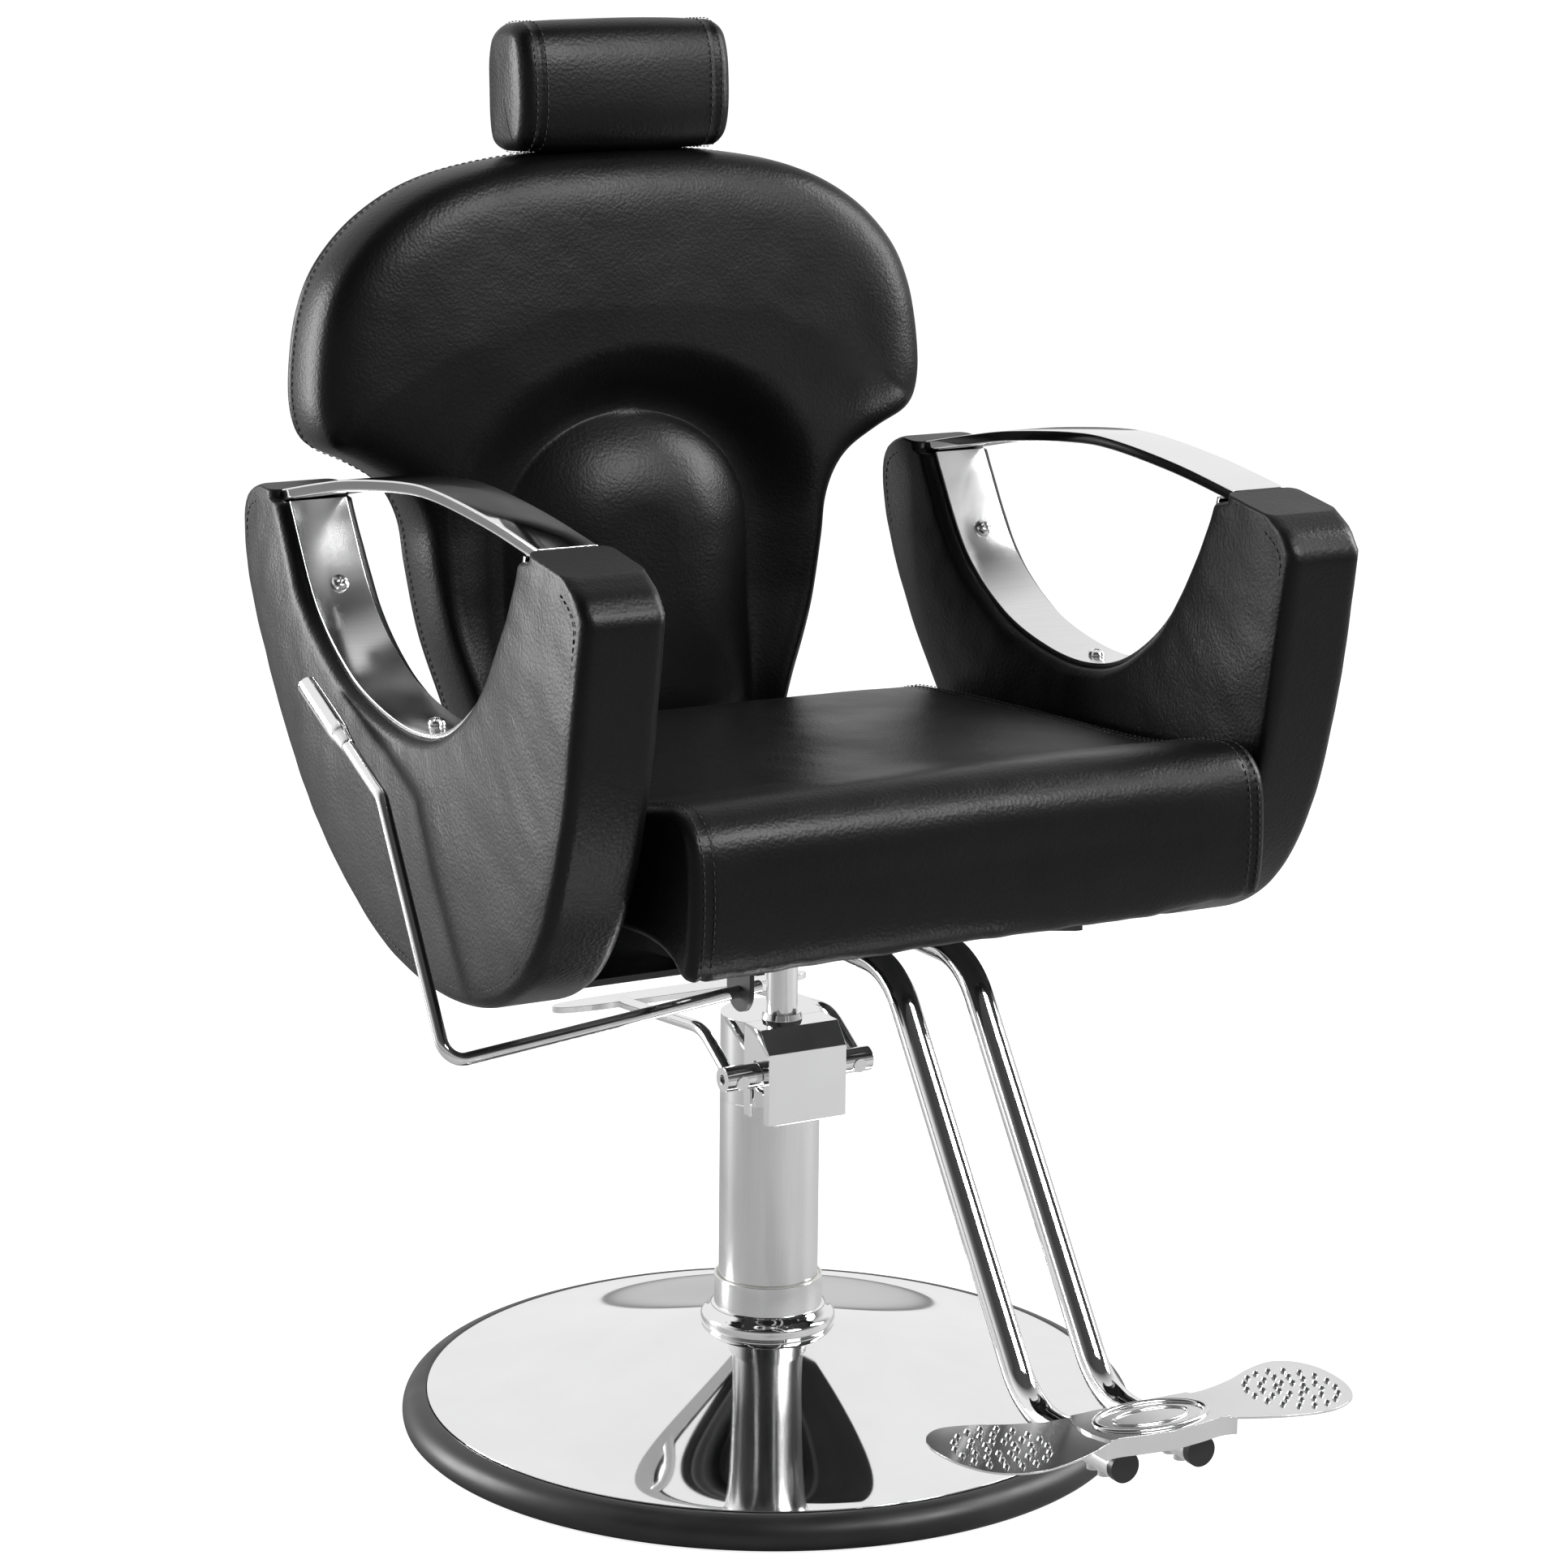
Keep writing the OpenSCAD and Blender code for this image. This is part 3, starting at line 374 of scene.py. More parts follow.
def stitches(name, lines, normals, slot, body, length=4.2 * mm, gap=2.0 * mm, thick=0.9 * mm):
    """Rows of short raised threads along lines on the leather, each lying along its line."""
    points, faces = [], []
    sides = 6
    # Places along one thread, as shares of its length, and how thick it is there.
    shape = [(-0.5, 0.15), (-0.3, 1.0), (0.3, 1.0), (0.5, 0.15)]
    for line, outward in zip(lines, normals):
        run = np.concatenate([[0], np.cumsum(np.linalg.norm(np.diff(line, axis=0), axis=1))])
        pitch = length + gap
        for start in np.arange(gap, run[-1] - length, pitch):
            here = np.array([np.interp(start + length / 2, run, line[:, k]) for k in range(3)])
            ahead = np.array([np.interp(start + length, run, line[:, k]) for k in range(3)])
            out = np.array([np.interp(start + length / 2, run, outward[:, k]) for k in range(3)])
            along = (ahead - here) / max(np.linalg.norm(ahead - here), 1e-9)
            out = out / max(np.linalg.norm(out), 1e-9)
            across = np.cross(along, out)
            first = len(points)
            for t, full in shape:
                for k in range(sides):
                    a = 2 * math.pi * k / sides
                    points.append(here + along * t * length
                                  + full * thick / 2 * (across * math.cos(a) + out * (math.sin(a) + 0.3)))
            faces += [tuple(first + i for i in f) for f in loops_to_faces(len(shape), sides)]
    return make_piece(name, points, faces, slot, body, paint=thread_finish)


def wobble(point, size, seed):
    """Smooth noise from -1 to 1."""
    return noise.noise(Vector(point) * size + Vector((seed, 3.1 * seed, 7.7 * seed)))


# ---------------------------------------------------------------- base and column

rim_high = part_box("base_rim")[1]
collar_low, collar_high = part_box("base_collar")
rim_r = rim_high.x
dome_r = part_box("base_disc")[1].x
neck_r = collar_high.x
sheet = 2.5 * mm  # thickness of the dome


def dome_height(r):
    """Height of the dome's outer face at radius r, from the rim up to the collar."""
    rise = (dome_r - r) / (dome_r - neck_r)
    return rim_high.z + (collar_low.z - rim_high.z) * rise ** 1.2


dome = [(r, dome_height(r)) for r in np.linspace(dome_r, neck_r, 70)]
under = [(r, z - sheet) for r, z in dome[::-1] if r < dome_r - 3 * mm]
lathe("dome_skin", [(dome_r - 1 * mm, rim_high.z - 4 * mm), (dome_r, rim_high.z - 2 * mm)] + dome
      + [(neck_r - 4 * mm, collar_low.z), (neck_r - 4 * mm, collar_low.z - sheet)] + under,
      "base_chrome", "base", ("base_disc",), sharp=40)

bead = 16 * mm  # radius of the rim's outer face, centred at bead_z
bead_z = 9 * mm
arc = [(rim_r - bead + bead * math.cos(a), bead_z + bead * math.sin(a)) for a in np.linspace(-0.35, 1.45, 18)]
lathe("rim_trim", [(dome_r - 14 * mm, 0), (rim_r - 7 * mm, 0), (rim_r - 3.5 * mm, 1 * mm)] + arc
      + [(dome_r + 3 * mm, rim_high.z - 0.3 * mm), (dome_r + 0.8 * mm, rim_high.z - 1.2 * mm),
         (dome_r + 0.2 * mm, rim_high.z - 4 * mm), (dome_r - 14 * mm, rim_high.z - 4 * mm)],
      "rim_rubber", "base", ("base_rim",), sharp=40)

band_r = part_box("collar_band")[1].x
neck = curve_through([
    (neck_r - 1.5 * mm, collar_low.z), (neck_r, collar_low.z + 1.5 * mm),
    (neck_r + 0.3 * mm, collar_low.z + 4.5 * mm), (neck_r, collar_low.z + 8 * mm),
    (neck_r - 1.6 * mm, collar_low.z + 10.2 * mm), (neck_r - 5 * mm, collar_low.z + 12.6 * mm),
    (band_r + 2 * mm, collar_high.z - 1 * mm), (band_r + 0.3 * mm, collar_high.z),
], 5)
collar_bore = band_r - 2 * mm
lathe("collar_ring", [tuple(q) for q in neck] + [(collar_bore, collar_high.z), (collar_bore, collar_low.z)],
      "base_chrome", "base", ("base_collar",), sharp=50)

# ---------------------------------------------------------------- rods and tubes

tube_low, tube_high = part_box("footrest_tube_left")
caps_low, caps_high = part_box("footrest_caps")
tube_r = 11 * mm
foot_x = (tube_low.x + tube_high.x) / 2
top_z = tube_high.z - tube_r
low_z = (caps_low.z + caps_high.z) / 2
for side, word in ((-1, "right"), (1, "left")):
    path = bent_line([
        (side * foot_x, tube_high.y, top_z), (side * foot_x, -240 * mm, top_z),
        (side * foot_x, -436 * mm, low_z), (side * foot_x, tube_low.y, low_z),
    ], 62 * mm)
    rod("foot_tube_" + word, path, [tube_r] * len(path), "tube_chrome", "seat", ("footrest_tube_" + word,))

plate_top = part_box("footrest_plate")[1].z - 1 * mm


def oval_ring(name, across, along, profile, count=96):
    """A ring round an oval on the foot plate, from (distance outwards, height) points."""
    mid_y = -542 * mm
    points = []
    for out, up in profile:
        for k in range(count):
            a = 2 * math.pi * k / count
            points.append(((across + out) * math.cos(a), mid_y + (along + out) * math.sin(a), plate_top + up))
    faces = loops_to_faces(len(profile), count, closed=True)
    make_piece(name, points, faces, "plate_chrome", "seat", sharp=60)


bead_section = [(2.6 * mm * math.cos(a), 2.2 * mm * math.sin(a))
                for a in np.linspace(0, 2 * math.pi, 12, endpoint=False)]
oval_ring("plate_ring", 44 * mm, 24 * mm, bead_section)
oval_ring("plate_ring_inner", 30 * mm, 13 * mm, [(0.5 * out, 0.6 * up) for out, up in bead_section])

lever_hinge = Vector(joints["recline_lever_turn"]["pos_m"])
rod_r = 5 * mm
out_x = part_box("recline_rod")[0].x + rod_r
path = bent_line([
    lever_hinge, (out_x, -139 * mm, 378 * mm), (out_x, -30 * mm, 555 * mm), (out_x, 60 * mm, 595 * mm),
], 16 * mm, 0.002)
rod("lever_rod", path, [rod_r] * len(path), "tube_chrome", "recline_lever", ("recline_rod",))
grip_a, grip_b = Vector((out_x, 30 * mm, 581.7 * mm)), Vector((out_x, 105.5 * mm, 615.2 * mm))
grip_r = 8 * mm
grip = [(0, rod_r), (0.02, rod_r + 0.8 * mm), (0.16, grip_r * 0.86), (0.3, grip_r), (0.94, grip_r),
        (0.975, grip_r * 0.9), (0.995, grip_r * 0.6), (1, grip_r * 0.25)]
grip = curve_through(grip, 6)
rod("lever_grip", [grip_a.lerp(grip_b, min(max(t, 0), 1)) for t, r in grip], [r for t, r in grip],
    "tube_chrome", "recline_lever", ("recline_grip",))

pedal_hinge = Vector(joints["pedal"]["pos_m"])
leg_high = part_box("pump_lever")[1]
leg_r = 5 * mm
leg_x = leg_high.x - leg_r
points, faces = [], []
for side in (-1, 1):
    path = bent_line([
        (side * leg_x, pedal_hinge.y + 2 * mm, pedal_hinge.z + 1 * mm),
        (side * leg_x, 6 * mm, pedal_hinge.z + 29 * mm),
        (side * leg_x, leg_high.y + 6 * mm, 316 * mm),
    ], 44 * mm)
    first = len(points)
    points += swept(path, [ring(leg_r)] * len(path))
    faces += [tuple(first + i for i in f) for f in loops_to_faces(len(path), ROD_SIDES)]
make_piece("pedal_legs", points, faces, "tube_chrome", "pump_lever", ("pump_lever",), sharp=50)

# ---------------------------------------------------------------- arms

# Side outlines as (Y, height) in millimetres: the opening, the top of the chrome bar and the pad's outer edge.
ARM_U = [
    (214, 752), (200, 726), (156, 662), (94, 620), (26, 601), (-36, 598), (-90, 612), (-143, 649),
    (-181, 700), (-204, 744), (-212, 772),
]
ARM_TOP = [(221, 748), (150, 763), (90, 774), (0, 785), (-60, 787), (-148, 780), (-227, 769)]
ARM_EDGE = [
    (-318, 738), (-311, 690), (-296, 610), (-277, 545), (-249, 488), (-211, 446), (-155, 420), (-80, 411),
    (3, 421), (75, 451), (152, 504), (227, 590), (272, 668), (283, 716), (275, 738),
]


def flat_bar(name, line, thickness, x, slot, replaced, radius):
    """A flat strip as wide as the chrome bar, bent along a line in Y and Z, with round edges."""
    normal = left_of(line)
    section = rounded_box(bar_w, thickness, radius)
    points = [(x + a, p[0] + b * n[0], p[1] + b * n[1]) for p, n in zip(line, normal) for a, b in section]
    return make_piece(name, points, loops_to_faces(len(line), len(section)), slot, "seat", replaced, sharp=60)


bar_low, bar_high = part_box("arm_bar_left")
bar_w = bar_high.x - bar_low.x
arm_x = (bar_low.x + bar_high.x) / 2
pad_low, pad_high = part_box("arm_pad_left")
pad_half = (pad_high.x - pad_low.x) / 2
bar_t = 9 * mm
strap_t = 4 * mm

top_line = evenly(curve_through(np.array(ARM_TOP) * mm, 24), 140)
u_line = evenly(curve_through(np.array(ARM_U) * mm, 24), 200)
edge_line = evenly(curve_through(np.array(ARM_EDGE) * mm, 24), 200)
bar_mid = top_line + left_of(top_line) * bar_t / 2
strap_mid = u_line - left_of(u_line) * strap_t / 2
bar_under = top_line + left_of(top_line) * bar_t


def below_bar(line, gap):
    """The points of a side line that lie under the chrome bar by more than the gap."""
    return np.array([q for q in line if q[1] < np.interp(q[0], bar_under[::-1, 0], bar_under[::-1, 1]) - gap])


strap_mid = below_bar(strap_mid, 1 * mm)

# Cross sections of the pad run from the outer edge to the U shaped opening.
PAD_ROUND = 9 * mm


def pad_section(length, half, swell, across=14, through=12, corner=6):
    """Closed loop in (distance from the outer edge, X): a crowned rectangle with round corners."""
    r = min(PAD_ROUND, 0.45 * length)
    out = []
    corners = ((length - r, half - r, 0), (r, half - r, 90), (r, r - half, 180), (length - r, r - half, 270))
    for i, (cx, cy, start) in enumerate(corners):
        for k in range(corner + 1):
            a = math.radians(start + 90 * k / corner)
            out.append((cx + r * math.cos(a), cy + r * math.sin(a)))
        nx, ny, nstart = corners[(i + 1) % 4]
        here = np.array(out[-1])
        a = math.radians(nstart)
        there = np.array((nx + r * math.cos(a), ny + r * math.sin(a)))
        count = across if i % 2 == 0 else through
        for k in range(1, count):
            out.append(tuple(here + (there - here) * k / count))
    out = np.array(out)
    t = np.clip(out[:, 0] / length, 0, 1)
    lift = swell * np.clip(np.sin(np.pi * t), 0, 1) ** 0.6
    out[:, 1] += np.sign(out[:, 1]) * lift * np.clip(np.abs(out[:, 1]) / half, 0, 1) ** 3
    return out


def arm_pad(side, word):
    """One padded arm; returns its side outline, for the stitches."""
    # The inner line goes down the bar's end faces and then along the U shaped opening.
    below = below_bar(u_line[::-1], 2 * mm)
    front_in = np.array([(-228, 768.5), (-226.5, 761), (-216, 759)]) * mm
    rear_in = np.array([(212, 739), (220, 740), (222.5, 747.5)]) * mm
    inner = evenly(np.vstack([front_in, below, rear_in]), 150)
    # The outline starts on top of the front corner and ends on top of the rear corner, beside the bar's ends.
    front_top = np.array([(-317, 730), (-307, 747), (-286, 759)]) * mm
    outline = np.vstack([front_top[::-1], edge_line[1:], np.array([(262, 746), (250, 749)]) * mm])
    outline = evenly(soften(evenly(outline, 500), 6), 150)
    points = []
    closing = [d * mm for d in (9, 6, 3.5, 1.6, 0.5)]
    last = len(inner) - 1
    rows = [(0, d) for d in closing] + [(i, 0) for i in range(last + 1)] + [(last, d) for d in closing[::-1]]
    for index, inset in rows:
        a, b = outline[index], inner[index]
        length = np.linalg.norm(b - a)
        ahead = (b - a) / length
        share = index / last
        swell = 3.5 * mm * min(1, 8 * share, 8 * (1 - share))
        section = pad_section(length, pad_half - 0.4 * mm, swell)
        if inset:
            centre = np.array([length / 2, 0])
            step = section - centre
            reach = np.array([length / 2, pad_half])
            section = centre + step * (1 - inset / reach)
        for t, x in section:
            yz = a + ahead * t
            points.append((side * arm_x + x, yz[0], yz[1]))
    faces = loops_to_faces(len(rows), len(section))
    points = np.array(points)
    for i, p in enumerate(points):
        out = 1 if p[0] > side * arm_x else -1
        face = min(1, max(0, (abs(p[0] - side * arm_x) - 0.6 * pad_half) / (0.4 * pad_half)))
        points[i][0] += out * face * 0.9 * mm * wobble(p, 16, 2 + side)
        points[i][0] += out * face * 0.5 * mm * wobble(p, 45, 5 + side)
    piece = make_piece("pad_" + word, points, faces, "arm_leather", "seat", ("arm_pad_" + word,))
    return outline


for side, word in ((-1, "right"), (1, "left")):
    flat_bar("bar_" + word, bar_mid, bar_t, side * arm_x, "bar_chrome", ("arm_bar_" + word,), 1.4 * mm)
    strap_name = "arm_strap_" + word
    flat_bar("strap_" + word, strap_mid, strap_t, side * arm_x, "strap_steel", (strap_name,), 0.8 * mm)
    lines, outs = [], []
    inset = evenly(soften(arm_pad(side, word), 2), 400)
    normal = left_of(inset)
    for face in (-1, 1):
        line = inset + normal * 13 * mm
        x = side * arm_x + face * (pad_half + 0.6 * mm)
        lines.append(np.stack([np.full(len(line), x), line[:, 0], line[:, 1]], 1))
        outs.append(np.tile([face, 0, 0], (len(line), 1)).astype(float))
    stitches("pad_stitches_" + word, lines, outs, "arm_leather", "seat")

# ---------------------------------------------------------------- seat

seat_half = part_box("seat_cushion")[1].x
# Side outline as (Y, height) in millimetres: over the top from front to rear, then back along the underside.
SEAT_TOP = [
    (-310, 466), (-318, 480), (-322, 520), (-318, 562), (-304, 581), (-282, 588), (-232, 580), (-172, 568),
    (0, 560), (150, 551), (184, 543), (196, 528), (198, 505), (192, 470), (182, 452),
]
SEAT_UNDER = [(60, 462), (-100, 475), (-240, 484), (-285, 478), (-298, 468)]


def build_seat():
    count = 220
    top = curve_through(np.array(SEAT_TOP) * mm, 16)
    under = curve_through(np.array(SEAT_UNDER) * mm, 10)
    profile = evenly(soften(evenly(np.vstack([top, under]), 600, True), 10, True), count, True)
    inward = inward_of(profile, profile.mean(0))[:count]
    half = seat_half
    r = 9 * mm  # radius of the side edges
    stations = [(-half, r)]
    for a in np.linspace(0, 90, 7)[1:]:
        stations.append((-half + r - r * math.cos(math.radians(a)), r - r * math.sin(math.radians(a))))
    xs = np.linspace(-half + r, half - r, 120)[1:-1]
    stations += [(x, 0) for x in xs]
    stations += [(-x, d) for x, d in stations[:7][::-1]]
    points = []
    for x, inset in stations:
        loop = profile + inward * inset
        for k, (y, z) in enumerate(loop):
            top = max(0, min(1, (z - 0.53) / 0.03))
            crown = 4 * mm * (1 - (x / half) ** 2) * top
            seam = 1.3 * mm * math.exp(-((half - 13 * mm - abs(x)) / (2.2 * mm)) ** 2)
            low = max(0, min(1, (0.5 - z) / 0.03)) * (1 if y < -0.25 else 0.4)
            sag = low * (2.5 * mm * wobble((x, 0, 0), 14, 4) + 1.2 * mm * wobble((x, 0, 0), 50, 9)
                         + 6 * mm * max(0, x / half) ** 2)
            soft = 0.7 * mm * wobble((x, y, z), 12, 1) + 0.3 * mm * wobble((x, y, z), 40, 2)
            shift = -inward[k] * (crown - seam + soft)
            points.append((x, y + shift[0], z + shift[1] + sag))
    faces = loops_to_faces(len(stations), count)
    piece = make_piece("seat_pad", points, faces, "seat_leather", "seat", ("seat_cushion",), sharp=70)
    lines, outs = [], []
    order = [k for k in range(count) if profile[k][1] > 0.475 and profile[k][0] < 0.19]
    line = (profile - inward * 0.6 * mm)[order]
    for side in (-1, 1):
        for gap in (9, 17):
            x = side * (half - gap * mm)
            lines.append(np.stack([np.full(len(line), x), line[:, 0], line[:, 1]], 1))
            outs.append(np.stack([np.zeros(len(line)), -inward[order][:, 0], -inward[order][:, 1]], 1))
    stitches("seat_stitches", lines, outs, "seat_leather", "seat")


build_seat()

# ---------------------------------------------------------------- back

hinge = Vector(joints["recline"]["pos_m"])
lean_axis = Vector(joints["headrest_slide"]["axis"])
lean = math.atan2(lean_axis.y, lean_axis.z)
FACE_TOP = (226 * mm, 1000 * mm)  # Y and height of the front face at the top of the back
face_at = (FACE_TOP[0] - hinge.y - (FACE_TOP[1] - hinge.z) * math.tan(lean)) * math.cos(lean)
BACK_T = 86 * mm
# Half of the front outline as (X, height) in millimetres, from the bottom up to the middle of the top.
BACK_SIDE = [
    (140, 500), (151, 545), (172, 610), (183, 668), (189, 708), (206, 738), (238, 759), (268, 774),
    (279, 797), (280, 832), (272, 880), (253, 920), (215, 957), (160, 984), (80, 998), (0, 1001),
]


def on_back(x, depth, height):
    """A point given by X, depth behind the front face and height above the hinge, along the leaning back."""
    y = depth + face_at
    return (x, hinge.y + y * math.cos(lean) + height * math.sin(lean),
            hinge.z - y * math.sin(lean) + height * math.cos(lean))


def smooth_step(t):
    t = np.clip(t, 0, 1)
    return t * t * (3 - 2 * t)


def build_back():
    half = np.array([(x * mm, (z * mm - hinge.z) / math.cos(lean)) for x, z in BACK_SIDE])
    right_half = curve_through(half, 20)
    left_half = right_half[::-1][1:] * [-1, 1]
    outline = evenly(soften(evenly(np.vstack([right_half, left_half]), 900, True), 8, True), 360, True)
    centre = np.array([0, 0.800 - hinge.z])
    fine = evenly(outline, 1440, True)
    tree = kdtree.KDTree(len(fine))
    for i, q in enumerate(fine):
        tree.insert((q[0], q[1], 0), i)
    tree.balance()
    rows = 90
    round_front = 62 * mm  # how far the rounding reaches in from the edge
    round_power = 2.7
    side_depth = 44 * mm  # how deep the rounded edge lies behind the front face
    slope_depth, slope_width = 8 * mm, 150 * mm  # a wider, flatter rounding that adds to it
    # The lumbar arch: half its width, the height where it turns round, and how far it rises from there.
    bulge_half = 113 * mm
    arch_z = 0.690 - hinge.z
    arch_h = 98 * mm

    def arch_distance(x, h):
        """Signed distance outside the lumbar arch, about zero on its edge."""
        if h <= arch_z:
            return abs(x) - bulge_half
        q = math.hypot(x / bulge_half, (h - arch_z) / arch_h)
        return (q - 1) * bulge_half

    def front_depth(x, h, d):
        """Depth of the front surface at X and height h, at distance d from the edge."""
        t = min(max(d / round_front, 0), 1)
        rounding = 1 - (1 - (1 - t) ** round_power) ** (1 / round_power)
        edge = (side_depth - slope_depth) * rounding + slope_depth * (1 - smooth_step(d / slope_width))
        a = arch_distance(x, h)
        lower = smooth_step((0.640 - hinge.z - h) / 0.10)
        width_out = 72 * mm - 34 * mm * lower
        groove = 33 * mm - 8 * mm * lower
        if a >= 0:
            valley = groove * (1 - smooth_step(a / width_out))
        else:
            inside = min(1, -a / (100 * mm))
            valley = groove * (1 - inside) ** 2.3
        return edge + valley * smooth_step(d / (22 * mm))

    points, count = [], len(outline)
    for row in range(1, rows + 1):
        rho = (row / rows) ** 0.85
        for q in outline:
            p = centre + (q - centre) * rho
            d = tree.find((p[0], p[1], 0))[2] if rho < 1 else 0.0
            depth = front_depth(p[0], p[1], d)
            depth += 0.6 * mm * wobble((p[0], 0, p[1]), 12, 6) + 0.25 * mm * wobble((p[0], 0, p[1]), 45, 8)
            points.append((p[0], max(depth, 0.5 * mm), p[1]))
    # Side wall down to the rear seam, then the flat rear face.
    normal = inward_of(outline, centre)
    rear_seam = BACK_T - 9 * mm
    rear_inset = 11 * mm
    walls = [(side_depth + 8 * mm, -0.8 * mm), (side_depth + 18 * mm, -1.0 * mm),
             (rear_seam - 6 * mm, -0.4 * mm), (rear_seam - 1.5 * mm, 0.2 * mm), (rear_seam, 1.6 * mm),
             (rear_seam + 1.5 * mm, 0.4 * mm), (BACK_T - 4.5 * mm, 0.6 * mm), (BACK_T - 1.8 * mm, 2.2 * mm),
             (BACK_T - 0.4 * mm, 6 * mm), (BACK_T, rear_inset)]
    for depth, inset in walls:
        for q, n in zip(outline, normal):
            p = q + n * inset
            points.append((p[0], depth, p[1]))
    ring_edge = [outline[k] + normal[k] * rear_inset for k in range(count)]
    for rho in (0.93, 0.8, 0.6, 0.4, 0.2, 0.06):
        for q in ring_edge:
            p = centre + (q - centre) * rho
            points.append((p[0], BACK_T + 1.2 * mm * (1 - rho), p[1]))
    world = [on_back(*p) for p in points]
    faces = loops_to_faces(len(points) // count, count)
    piece = make_piece("back_pad", world, faces, "back_leather", "backrest", ("back_cushion", "back_cover"))
    # Threads on the side wall, in front of the rear seam.
    loop = np.vstack([outline, outline[:1]])
    side_out = -normal
    raised = 0.9 * mm
    line = np.array([on_back(q[0] + n[0] * raised, rear_seam - 7 * mm, q[1] + n[1] * raised)
                     for q, n in zip(loop, side_out)])
    out = np.array([(n[0], n[1] * math.sin(lean), n[1] * math.cos(lean)) for n in side_out])
    stitches("back_stitches", [line], [out], "back_leather", "backrest")


build_back()

# ---------------------------------------------------------------- headrest

def build_headrest():
    half_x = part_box("headrest_cushion")[1].x
    height = 102 * mm
    depth = 72 * mm
    bottom = (1002.5 * mm - hinge.z) / math.cos(lean)
    mid = 52 * mm
    # Side section, as shares of the depth from the middle and of the height from the bottom.
    section = [
        (-0.22, 0.0), (-0.38, 0.08), (-0.48, 0.26), (-0.5, 0.5), (-0.47, 0.74), (-0.37, 0.92),
        (-0.2, 0.99), (0.0, 1.0), (0.22, 0.98), (0.4, 0.9), (0.49, 0.72), (0.5, 0.5), (0.5, 0.25),
        (0.44, 0.07), (0.30, 0.0), (0.0, -0.005),
    ]
    loop = np.array([(a * depth, b * height) for a, b in section])
    loop = np.vstack([loop, loop[:1]])
    count = 120
    loop = evenly(soften(evenly(curve_through(loop, 12), 400, True)[:400], 14, True), count, True)
    middle = loop.mean(0)
    inward = inward_of(loop, middle)[:count]
    r = 13 * mm  # radius of the edges round the two ends
    # Stations along X: (x, share of the end face's size or None, distance inwards or None).
    end = [(-half_x + 1.5 * mm * rho ** 2 - 1 * mm, rho, None) for rho in (0.1, 0.35, 0.6, 0.78)]
    for degrees in np.linspace(0, 90, 9):
        a = math.radians(degrees)
        end.append((-half_x + 0.5 * mm + r - r * math.cos(a), None, r - r * math.sin(a)))
    xs = np.linspace(-half_x + r + 0.5 * mm, half_x - r - 0.5 * mm, 70)[1:-1]
    stations = end + [(x, None, 0) for x in xs] + [(-x, rho, d) for x, rho, d in end[::-1]]
    points = []
    for x, rho, inset in stations:
        if rho is not None:
            base = loop + inward * r
            ring_points = middle + (base - middle) * (rho + 0.12)
        else:
            ring_points = loop + inward * inset
        for k, (a, b) in enumerate(ring_points):
            seam = 1.2 * mm * math.exp(-((half_x - 17 * mm - abs(x)) / (2.2 * mm)) ** 2)
            crown = 2.5 * mm * (1 - (x / half_x) ** 2)
            soft = 0.5 * mm * wobble((x, a, b), 20, 3)
            a2, b2 = np.array([a, b]) - inward[k] * ((crown - seam + soft) if rho is None else 0)
            points.append(on_back(x, mid + a2, bottom + b2))
    faces = loops_to_faces(len(stations), count)
    piece = make_piece("headrest_pad", points, faces, "head_leather", "headrest", ("headrest_cushion",))
    lines, outs = [], []
    closed = np.vstack([loop, loop[:1]])
    away = -np.vstack([inward, inward[:1]])
    raised = 1.2 * mm
    for side in (-1, 1):
        for gap in (12.5, 22):
            x = side * (half_x - gap * mm)
            lines.append(np.array([on_back(x, mid + q[0] + n[0] * raised, bottom + q[1] + n[1] * raised)
                                   for q, n in zip(closed, away)]))
            outs.append(np.array([(0, n[0], n[1]) for n in away], float))
    stitches("headrest_stitches", lines, outs, "head_leather", "headrest")


build_headrest()

# ---------------------------------------------------------------- light and floor


def area_light(name, at, target, size, power):
    """A rectangular light in the studio that faces its target."""
    data = bpy.data.lights.new(name, "AREA")
    data.shape = "RECTANGLE"
    data.size, data.size_y = size
    data.energy = power
    light = bpy.data.objects.new(name, data)
    light.location = at
    light.rotation_euler = (Vector(target) - Vector(at)).to_track_quat("-Z", "Y").to_euler()
    scene.collection.objects.link(light)


def mix_grey(tree, share, colour, grey):
    """Mixes a colour with a plain grey, by the share of grey; gives the result's socket."""
    node = tree.nodes.new("ShaderNodeMix")
    node.data_type = "RGBA"
    first, second = [socket for socket in node.inputs if socket.type == "RGBA"]
    tree.links.new(share, node.inputs[0])
    tree.links.new(colour, first)
    second.default_value = (grey, grey, grey, 1)
    return [socket for socket in node.outputs if socket.type == "RGBA"][0]


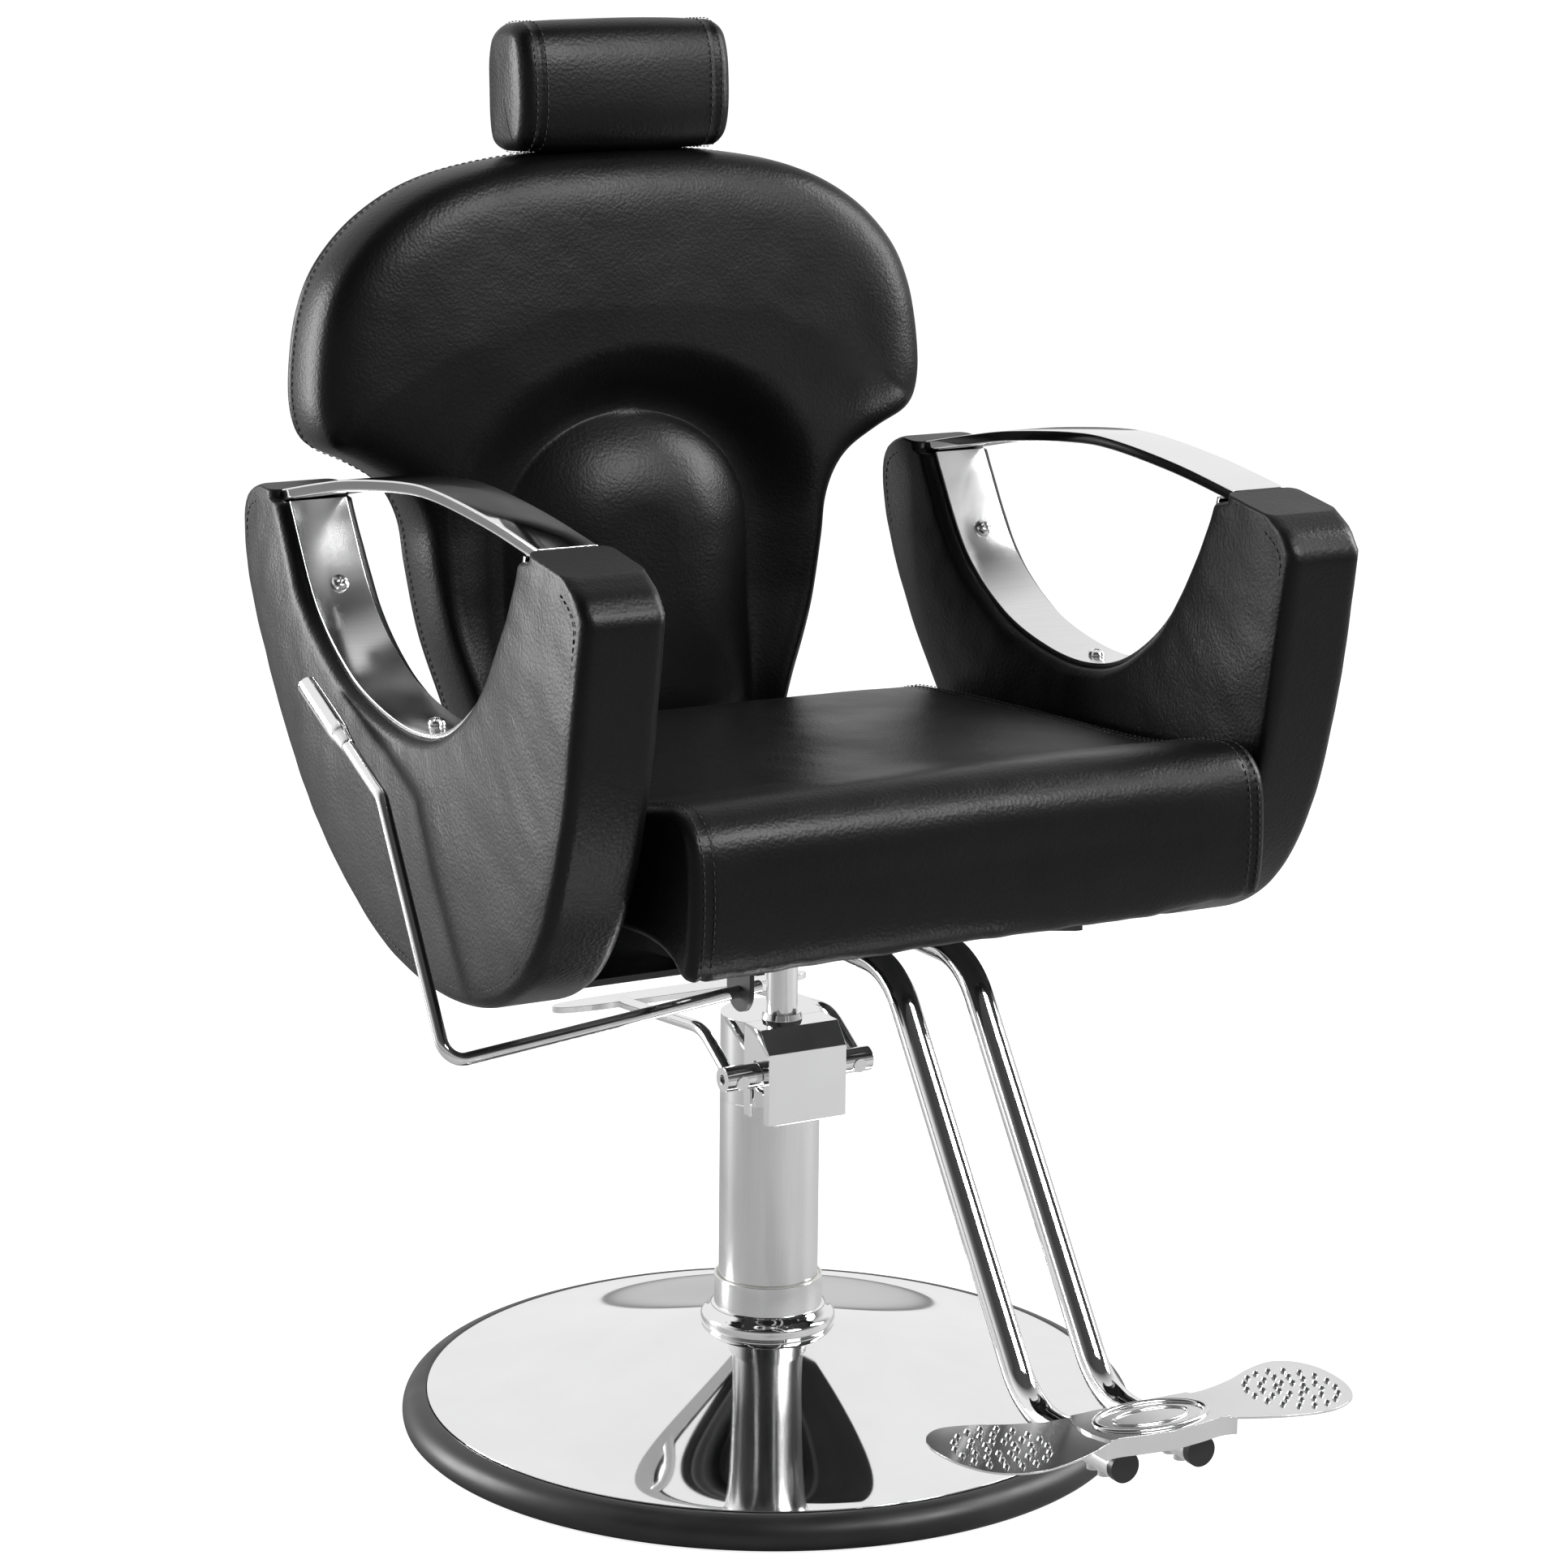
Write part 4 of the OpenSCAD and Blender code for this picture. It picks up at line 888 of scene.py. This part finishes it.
def add_surroundings():
    """White to the camera; in reflections, graded from floor to ceiling and bright behind the chair."""
    world = bpy.data.worlds.new("studio")
    scene.world = world
    world.use_nodes = True
    tree = world.node_tree
    background = tree.nodes["Background"]
    split = tree.nodes.new("ShaderNodeSeparateXYZ")
    tree.links.new(tree.nodes.new("ShaderNodeTexCoord").outputs["Generated"], split.inputs["Vector"])
    ramp = tree.nodes.new("ShaderNodeValToRGB")
    stops = [(0.0, 0.6), (0.12, 0.5), (0.3, 0.16), (0.55, 0.05), (1.0, 0.08)]
    while len(ramp.color_ramp.elements) < len(stops):
        ramp.color_ramp.elements.new(0.5)
    for stop, (at, level) in zip(ramp.color_ramp.elements, stops):
        stop.position = at
        stop.color = (level, level, level, 1)
    tree.links.new(split.outputs["Z"], ramp.inputs["Fac"])
    behind = tree.nodes.new("ShaderNodeMapRange")
    behind.inputs["From Min"].default_value, behind.inputs["From Max"].default_value = -0.1, 0.35
    tree.links.new(split.outputs["Y"], behind.inputs["Value"])
    reflected = mix_grey(tree, behind.outputs["Result"], ramp.outputs["Color"], 0.9)
    to_camera = tree.nodes.new("ShaderNodeLightPath").outputs["Is Camera Ray"]
    tree.links.new(mix_grey(tree, to_camera, reflected, 1.0), background.inputs["Color"])
    background.inputs["Strength"].default_value = 1.0


def add_floor():
    """A grey floor that also glows to the camera, so that it looks white."""
    mesh = bpy.data.meshes.new("floor")
    reach = 30.0
    corners = [(-reach, -reach, 0), (reach, -reach, 0), (reach, reach, 0), (-reach, reach, 0)]
    mesh.from_pydata(corners, [], [(0, 1, 2, 3)])
    floor = bpy.data.objects.new("floor", mesh)
    scene.collection.objects.link(floor)
    paint = Nodes("floor_paint", Roughness=0.7, Specular_IOR_Level=0.2)
    paint.to("Base Color", paint.colours(paint.noise(0.5), (0.36, 0.36, 0.36), (0.38, 0.38, 0.38)))
    glow = paint.add("ShaderNodeLightPath").outputs["Is Camera Ray"]
    paint.shader.inputs["Emission Color"].default_value = (1, 1, 1, 1)
    paint.to("Emission Strength", paint.spread(glow, 0.0, 0.85, (0.0, 1.0)))
    mesh.materials.append(paint.material)


add_surroundings()
area_light("key_top_front", (1.0, -2.4, 2.6), (0, 0, 0.75), (1.4, 0.9), 95)
area_light("strip_left", (-2.3, 2.1, 1.0), (0, 0, 0.8), (0.9, 1.9), 115)
area_light("strip_right", (2.4, -0.5, 1.8), (0, 0.1, 0.8), (0.6, 1.8), 75)
add_floor()
scene.view_settings.view_transform = "Standard"
